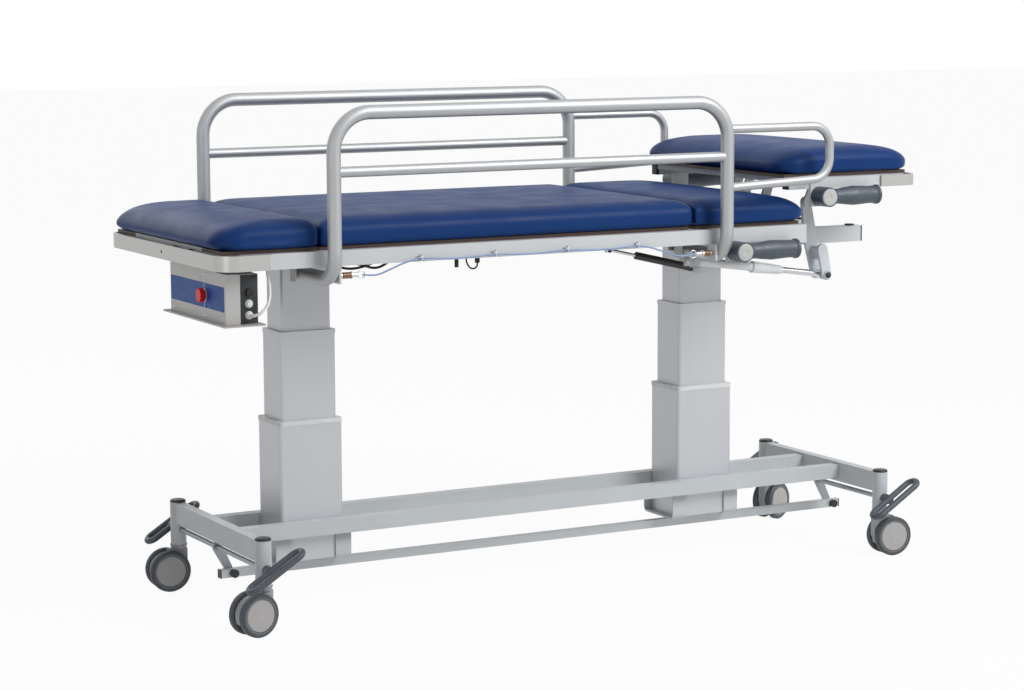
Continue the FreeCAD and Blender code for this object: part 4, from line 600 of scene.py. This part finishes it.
def blow_up(item, low, cap, free):
    """Lets the cover swell under the foam's pressure, each point within the cap, the underside held."""
    held_height, last_frame = 2 * MM, 20
    rest = [vert.co.copy() for vert in item.data.vertices]
    held = item.vertex_groups.new(name="underside")
    held.add([vert.index for vert in item.data.vertices if vert.co.z < low.z + held_height], 1.0,
             "REPLACE")
    cover = item.modifiers.new("cover", "CLOTH")
    cover.settings.quality = 4
    cover.settings.mass = 0.3
    cover.settings.use_pressure = True
    cover.settings.uniform_pressure_force = 4.0
    cover.settings.effector_weights.gravity = 0.0
    cover.settings.vertex_group_mass = held.name
    cover.point_cache.frame_start = 1
    cover.point_cache.frame_end = last_frame
    for step in range(1, last_frame + 1):
        bpy.context.scene.frame_set(step)
    evaluated(item)
    for vert, start in zip(item.data.vertices, rest):
        move = vert.co - start
        if move.length > cap:
            move = move.normalized() * cap
        towards_seam = not (free[0] if move.x < 0 else free[1])
        if towards_seam:
            move.x = 0.0
        vert.co = start + move
    item.vertex_groups.clear()
    bpy.context.scene.frame_set(1)


def make_pad(name, node, free, body=None, overhang=0.0):
    """One pad: blank, even mesh, swollen cover, sloped edges and a smoothed skin."""
    size = sizes()
    low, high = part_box(node)
    if node == "pad_back":
        high.x = JOINTS["back_lift"]["pos_m"][0] - 1 * MM
    gaps = [size.pad_inset if is_free else size.pad_meeting for is_free in free]
    start = low + Vector((gaps[0], size.pad_inset, 0))
    end = high - Vector((gaps[1] - overhang, size.pad_inset, size.pad_crown + 1 * MM))
    item = new_piece(name, None, pad_blank(start, end, free), [LOOKS["vinyl"]])
    even = item.modifiers.new("even", "REMESH")
    even.mode = "VOXEL"
    even.voxel_size = size.pad_voxel
    evaluated(item)
    blow_up(item, start, size.pad_inset, free)
    made = bmesh.new()
    made.from_mesh(item.data)
    relax(made)
    shape_pad(made, start, end, free)
    made.to_mesh(item.data)
    made.free()
    item.data.materials.clear()
    item.data.materials.append(LOOKS["vinyl"].material)
    finer = item.modifiers.new("finer", "SUBSURF")
    finer.levels = 1
    finer.render_levels = 1
    evaluated(item)
    if body:
        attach(item, body)
    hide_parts(node)
    return item


# Operators, one for each group of pieces

class CameraOperator(bpy.types.Operator):
    """Sets up the view along the table from its near left corner."""
    bl_idname = "table.camera"
    bl_label = "Camera"

    POSITION = (-3.1278, -5.6807, 1.4586)
    YAW = math.radians(28.546)
    PITCH = math.radians(7.787)
    ROLL = math.radians(-0.218)
    LENS = 93.3

    def execute(self, context):
        view = bpy.data.cameras.new("view")
        view.sensor_width = 36.0
        view.lens = self.LENS
        view.clip_end = 100.0
        camera = bpy.data.objects.new("camera", view)
        level = math.cos(self.PITCH)
        ahead = Vector((math.sin(self.YAW) * level, math.cos(self.YAW) * level, -math.sin(self.PITCH)))
        right = Vector((math.cos(self.YAW), -math.sin(self.YAW), 0))
        up = right.cross(ahead)
        across = right * math.cos(self.ROLL) + up * math.sin(self.ROLL)
        above = -right * math.sin(self.ROLL) + up * math.cos(self.ROLL)
        turn = Matrix((across, above, -ahead)).transposed().to_4x4()
        camera.matrix_world = Matrix.Translation(self.POSITION) @ turn
        context.scene.collection.objects.link(camera)
        context.scene.camera = camera
        return {"FINISHED"}


class FinishesOperator(bpy.types.Operator):
    """Gives every metal, painted and moulded piece its finish."""
    bl_idname = "table.finishes"
    bl_label = "Finishes"

    def execute(self, context):
        c = colours()
        LOOKS["vinyl"] = vinyl_look()
        LOOKS["black"] = moulded("black plastic", c.black, 0.42)
        LOOKS["steel"] = satin("bright steel", c.steel, 0.25, 1.0)
        LOOKS["casing"] = painted("control casing", c.casing)
        LOOKS["cord"] = moulded("cord sheath", c.cord, 0.35)
        frame_paint = painted("frame paint", c.frame)
        base_paint = painted("base paint", c.base)
        column = brushed("column alloy", c.column, 2 * MM, (1, 1, 0.01), 0.38, 0.5, 0.012)
        dress(frame_paint, "frame_sides", "frame_cross_members", "head_frame")
        dress(satin("shelf steel", c.shelf, 0.4, 0.5), "control_shelf")
        dress(base_paint, "base_end_left", "base_end_right", "base_rails", "column_cradles")
        dress(column, "left_column_outer", "right_column_outer", "left_column_middle",
              "right_column_middle", "column_inners")
        dress(moulded("column rim", c.rim, 0.4), "column_outer_rims")
        dress(satin("rail tube", c.satin, 0.5, 0.7), "rail_near", "rail_far")
        dress(brushed("bumper steel", c.bumper, 1.5 * MM, (0.02, 0.02, 1), 0.34, 0.7, 0.015),
              "end_bumper", "head_bumper")
        dress(LOOKS["steel"], "lift_spindles", "wire_hooks", "actuator_rod", "gas_spring_rod")
        dress(LOOKS["black"], "post_caps", "frame_cables")
        for end in ENDS:
            dress(brake_look(end), "brake_" + end)
        dress(bar_look(), "brake_bar")
        dress(board_look(), "deck_boards", "back_board", "head_board")
        dress(LOOKS["casing"], "control_box")
        dress(moulded("stop knob", c.stop, 0.34, gloss=0.3), "stop_knob")
        dress(moulded("wire sheath", c.sheath, 0.35), "release_wires")
        dress(LOOKS["cord"], "control_cord")
        dress(painted("lever paint", c.lever), "head_lever_near", "head_lever_far", "head_arm_near",
              "head_arm_far")
        dress(moulded("actuator housing", c.drive, 0.35), "actuator_body")
        dress(painted("gas spring paint", c.gas), "gas_spring_body")
        dress(grip_look(), *[f"grip_{place}_{side}" for place in ("main", "head") for side, _ in SIDES])
        fork = moulded("castor fork", c.fork, 0.4)
        for corner in CORNERS:
            dress(fork, "castor_housing_" + corner)
            dress(wheel_look(corner), "castor_wheels_" + corner)
        leg_middles = (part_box("rail_near")[0].x + 16 * MM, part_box("latch_near_right")[1].x + 16.5 * MM)
        for end, leg_x in zip(ENDS, leg_middles):
            look = latch_look(leg_x)
            for side, _ in SIDES:
                dress(look, f"latch_{side}_{end}")
        return {"FINISHED"}


class PadsOperator(bpy.types.Operator):
    """Upholsters the four pads."""
    bl_idname = "table.pads"
    bl_label = "Pads"

    def execute(self, context):
        make_pad("foot_cushion", "pad_foot", (True, False), "table")
        back = make_pad("back_cushion", "pad_back", (False, False))
        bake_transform(back)
        make_pad("seat_cushion", "pad_seat", (False, True), "table", overhang=14 * MM)
        make_pad("head_cushion", "head_pad", (True, True), "head", overhang=10 * MM)
        return {"FINISHED"}


class ControlBoxOperator(bpy.types.Operator):
    """Adds the panel, seams, screws, dark end plate and plugs of the control box."""
    bl_idname = "table.control_box"
    bl_label = "Control box"

    PLUG = ((0, 7.5), (6, 7.5), (7.4, 6), (8.2, 2), (9.2, 1.6), (9.2, 0), (0, 0))
    COLLAR = ((0, 7.3), (5.5, 7.3), (6.2, 8.2), (8.4, 8), (9.2, 0), (0, 0))

    def execute(self, context):
        c = colours()
        low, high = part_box("control_box")
        knob_low, knob_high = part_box("stop_knob")
        knob = (knob_low + knob_high) / 2
        knob_radius = (knob_high.z - knob_low.z) / 2
        socket_reach, sunk, margin = 7 * MM, 0.3 * MM, 1 * MM
        near = low.y + socket_reach
        front = low.x

        film = holed_film((front - 0.3 * MM, near + 22 * MM, low.z + 26 * MM),
                          (front + sunk, high.y - 3 * MM, low.z + 82 * MM),
                          (knob.y, knob.z), knob_radius + 0.5 * MM)
        panel = moulded("control panel", c.panel, 0.4, gloss=0.2)
        new_piece("control_panel", "table", film, [panel])

        seam_half, clear = 0.7 * MM, knob_radius + 1 * MM
        spans = ((low.z + margin, knob.z - clear), (knob.z + clear, high.z - margin))
        seams = joined(slab((front - seam_half, knob.y - seam_half, start),
                            (front + sunk, knob.y + seam_half, end), 0.1 * MM) for start, end in spans)
        new_piece("control_seam", "table", seams, [LOOKS["steel"]])

        columns = (near + 30 * MM, knob.y - 6 * MM, knob.y + 6 * MM, high.y - 16 * MM)
        rows = (low.z + 7 * MM, high.z - 8 * MM)
        screws = joined(screw((front, y, z), (-1, 0, 0), sizes().screw_head / MM, 1.2)
                        for y in columns for z in rows)
        new_piece("control_screws", "table", screws, [LOOKS["steel"]])

        end_plate = slab((front + 29 * MM, near - 0.8 * MM, low.z + margin),
                         (high.x - margin, near + sunk, high.z - margin), 0.3 * MM)
        dark = moulded("control end plate", c.plate, 0.4)
        new_piece("control_end_plate", "table", end_plate, [dark])

        fittings = ((20, self.PLUG, 0), (45.5, self.PLUG, 0), (71, self.COLLAR, 1))
        plugs = joined(turned(profile, (front + 49 * MM, near, low.z + height * MM), (0, -1, 0), 40, index)
                       for height, profile, index in fittings)
        new_piece("control_plugs", "table", plugs, [LOOKS["cord"], LOOKS["black"]])
        return {"FINISHED"}


class TrimOperator(bpy.types.Operator):
    """Adds the tube plugs, the lever foot's cap, the brake shafts' rings and the grips' discs."""
    bl_idname = "table.trim"
    bl_label = "Trim"

    FOOT_CAP = ((0, 5), (6, 4.6), (8, 3), (8.4, -SUNK), (0, -SUNK))
    FOOT_RING = ((8.2, 1.6), (10, 1.4), (10.6, -SUNK), (8.2, -SUNK))
    SHAFT_RING = ((6.2, 1), (9.5, 1), (10, -1.5), (6.2, -1.5))
    GRIP_DISC = ((0, 0.9), (2, 0.9), (2.6, 1.3), (19, 1.3), (20.6, 0.8), (21, -SUNK), (0, -SUNK))

    def execute(self, context):
        tube_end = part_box("head_frame")[0].x
        tube_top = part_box("head_board")[0].z
        tube_width, tube_height, tube_outer = 25 * MM, 30 * MM, 317 * MM
        walls = [sorted((tube_outer * sign, (tube_outer - tube_width) * sign)) for _, sign in SIDES]
        plugs = joined(slab((tube_end - 2.5 * MM, y_low, tube_top - tube_height),
                            (tube_end + 6 * MM, y_high, tube_top), 1.2 * MM) for y_low, y_high in walls)
        new_piece("head_tube_plugs", "head", plugs, [LOOKS["black"]])

        pin = JOINTS["actuator_pin"]["pos_m"]
        foot = (pin[0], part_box("head_lever_near")[0].y, pin[2])
        cap = joined(turned(profile, foot, (0, -1, 0), 32, index)
                     for index, profile in enumerate((self.FOOT_CAP, self.FOOT_RING)))
        new_piece("lever_foot_cap", "head_lever_near", cap, [LOOKS["black"], LOOKS["steel"]])

        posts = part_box("post_caps")
        to_shaft, shaft_height = 19 * MM, 150 * MM
        rings = []
        for x in (posts[0].x, posts[1].x):
            for y in (posts[0].y, posts[1].y):
                centre = (x + math.copysign(to_shaft, -x), y + math.copysign(1 * MM, y), shaft_height)
                rings.append(turned(self.SHAFT_RING, centre, (0, math.copysign(1, y), 0), 24))
        new_piece("shaft_rings", "base", joined(rings), [LOOKS["black"]])

        disc = moulded("grip disc", colours().grip_disc, 0.4)
        grip_reach = 24 * MM
        for place in ("main", "head"):
            for side, sign in SIDES:
                grip = f"grip_{place}_{side}"
                x, y, z = JOINTS[grip + "_turn"]["pos_m"]
                cover = turned(self.GRIP_DISC, (x, y + grip_reach * sign, z), (0, sign, 0), 40)
                new_piece(grip + "_disc", grip, cover, [disc])
        return {"FINISHED"}


def rays_seen(tree):
    """A socket that is 1 for rays that the camera sees, straight or by way of metal or glass."""
    path = tree.nodes.new("ShaderNodeLightPath")
    seen = path.outputs["Is Camera Ray"]
    for name in ("Is Glossy Ray", "Is Transmission Ray"):
        either = tree.nodes.new("ShaderNodeMath")
        either.operation = "MAXIMUM"
        tree.links.new(seen, either.inputs[0])
        tree.links.new(path.outputs[name], either.inputs[1])
        seen = either.outputs[0]
    return seen


def mix_shaders(tree, share, first, second, output):
    """Leads a mix of two shaders to a tree's output."""
    mixer = tree.nodes.new("ShaderNodeMixShader")
    tree.links.new(share, mixer.inputs["Fac"])
    tree.links.new(first.outputs[0], mixer.inputs[1])
    tree.links.new(second.outputs[0], mixer.inputs[2])
    tree.links.new(mixer.outputs[0], tree.nodes[output].inputs["Surface"])


class StageOperator(bpy.types.Operator):
    """Sets up the pale floor, the soft lamps and the white surroundings."""
    bl_idname = "table.stage"
    bl_label = "Stage"

    WORLD_LIGHT = 0.24
    FLOOR_GLOW = 0.95
    LAMPS = (  # name, place, target, size in metres, power in watts
        ("key", (2.6, -4.2, 4.2), (0, 0, 0.6), 2.8, 290),
        ("above", (0.6, -0.8, 4.6), (0, 0, 0.6), 4.0, 15),
        ("fill", (-4.4, -2.6, 1.3), (-0.9, 0, 0.75), 1.8, 16),
        ("back", (-1.0, 4.5, 2.8), (0, 0, 0.8), 3.0, 40),
    )

    def surround(self, scene):
        """White where it is seen, and a softer light on the table."""
        world = bpy.data.worlds.new("studio")
        scene.world = world
        world.use_nodes = True
        tree = world.node_tree
        plain = tree.nodes["Background"]
        shown = tree.nodes.new("ShaderNodeBackground")
        for background, strength in ((plain, self.WORLD_LIGHT), (shown, 1.0)):
            background.inputs["Color"].default_value = (1, 1, 1, 1)
            background.inputs["Strength"].default_value = strength
        mix_shaders(tree, rays_seen(tree), plain, shown, "World Output")

    def lay_floor(self, scene):
        """Paper that is nearly white where it is seen and keeps a faint shadow."""
        made = bmesh.new()
        bmesh.ops.create_grid(made, x_segments=2, y_segments=2, size=30.0)
        mesh = bpy.data.meshes.new("floor")
        made.to_mesh(mesh)
        made.free()
        floor = bpy.data.objects.new("floor", mesh)
        scene.collection.objects.link(floor)
        paper = Look("floor paper", (0.82, 0.82, 0.82), 0.9, gloss=0.1)
        glow = paper.tree.nodes.new("ShaderNodeEmission")
        glow.inputs["Strength"].default_value = 1.0
        share = Field(paper, rays_seen(paper.tree)) * self.FLOOR_GLOW
        mix_shaders(paper.tree, share.socket, paper.shader, glow, "Material Output")
        mesh.materials.append(paper.material)

    def execute(self, context):
        scene = context.scene
        scene.view_settings.view_transform = "Standard"
        self.surround(scene)
        self.lay_floor(scene)
        for name, place, target, size, power in self.LAMPS:
            lamp = bpy.data.lights.new(name, "AREA")
            lamp.size = size
            lamp.energy = power
            holder = bpy.data.objects.new(name, lamp)
            holder.location = place
            holder.rotation_mode = "QUATERNION"
            holder.rotation_quaternion = (Vector(target) - Vector(place)).to_track_quat("-Z", "Y")
            scene.collection.objects.link(holder)
        return {"FINISHED"}


class TablePanel(bpy.types.Panel):
    """Lists the table's steps and settings."""
    bl_idname = "VIEW3D_PT_table"
    bl_label = "Examination table"
    bl_space_type = "VIEW_3D"
    bl_region_type = "UI"
    bl_category = "Table"

    def draw(self, context):
        for operator in OPERATORS:
            self.layout.operator(operator.bl_idname)
        for settings in (context.scene.table_sizes, context.scene.table_colours):
            for name in settings.__annotations__:
                self.layout.prop(settings, name)


OPERATORS = (CameraOperator, FinishesOperator, PadsOperator, ControlBoxOperator, TrimOperator,
             StageOperator)
CLASSES = (TableColours, TableSizes, *OPERATORS, TablePanel)


def register():
    for item in CLASSES:
        bpy.utils.register_class(item)
    bpy.types.Scene.table_colours = bpy.props.PointerProperty(type=TableColours)
    bpy.types.Scene.table_sizes = bpy.props.PointerProperty(type=TableSizes)


def unregister():
    del bpy.types.Scene.table_colours
    del bpy.types.Scene.table_sizes
    for item in reversed(CLASSES):
        bpy.utils.unregister_class(item)


def main():
    register()
    for operator in OPERATORS:
        group, name = operator.bl_idname.split(".")
        getattr(getattr(bpy.ops, group), name)()


if __name__ == "__main__":
    main()
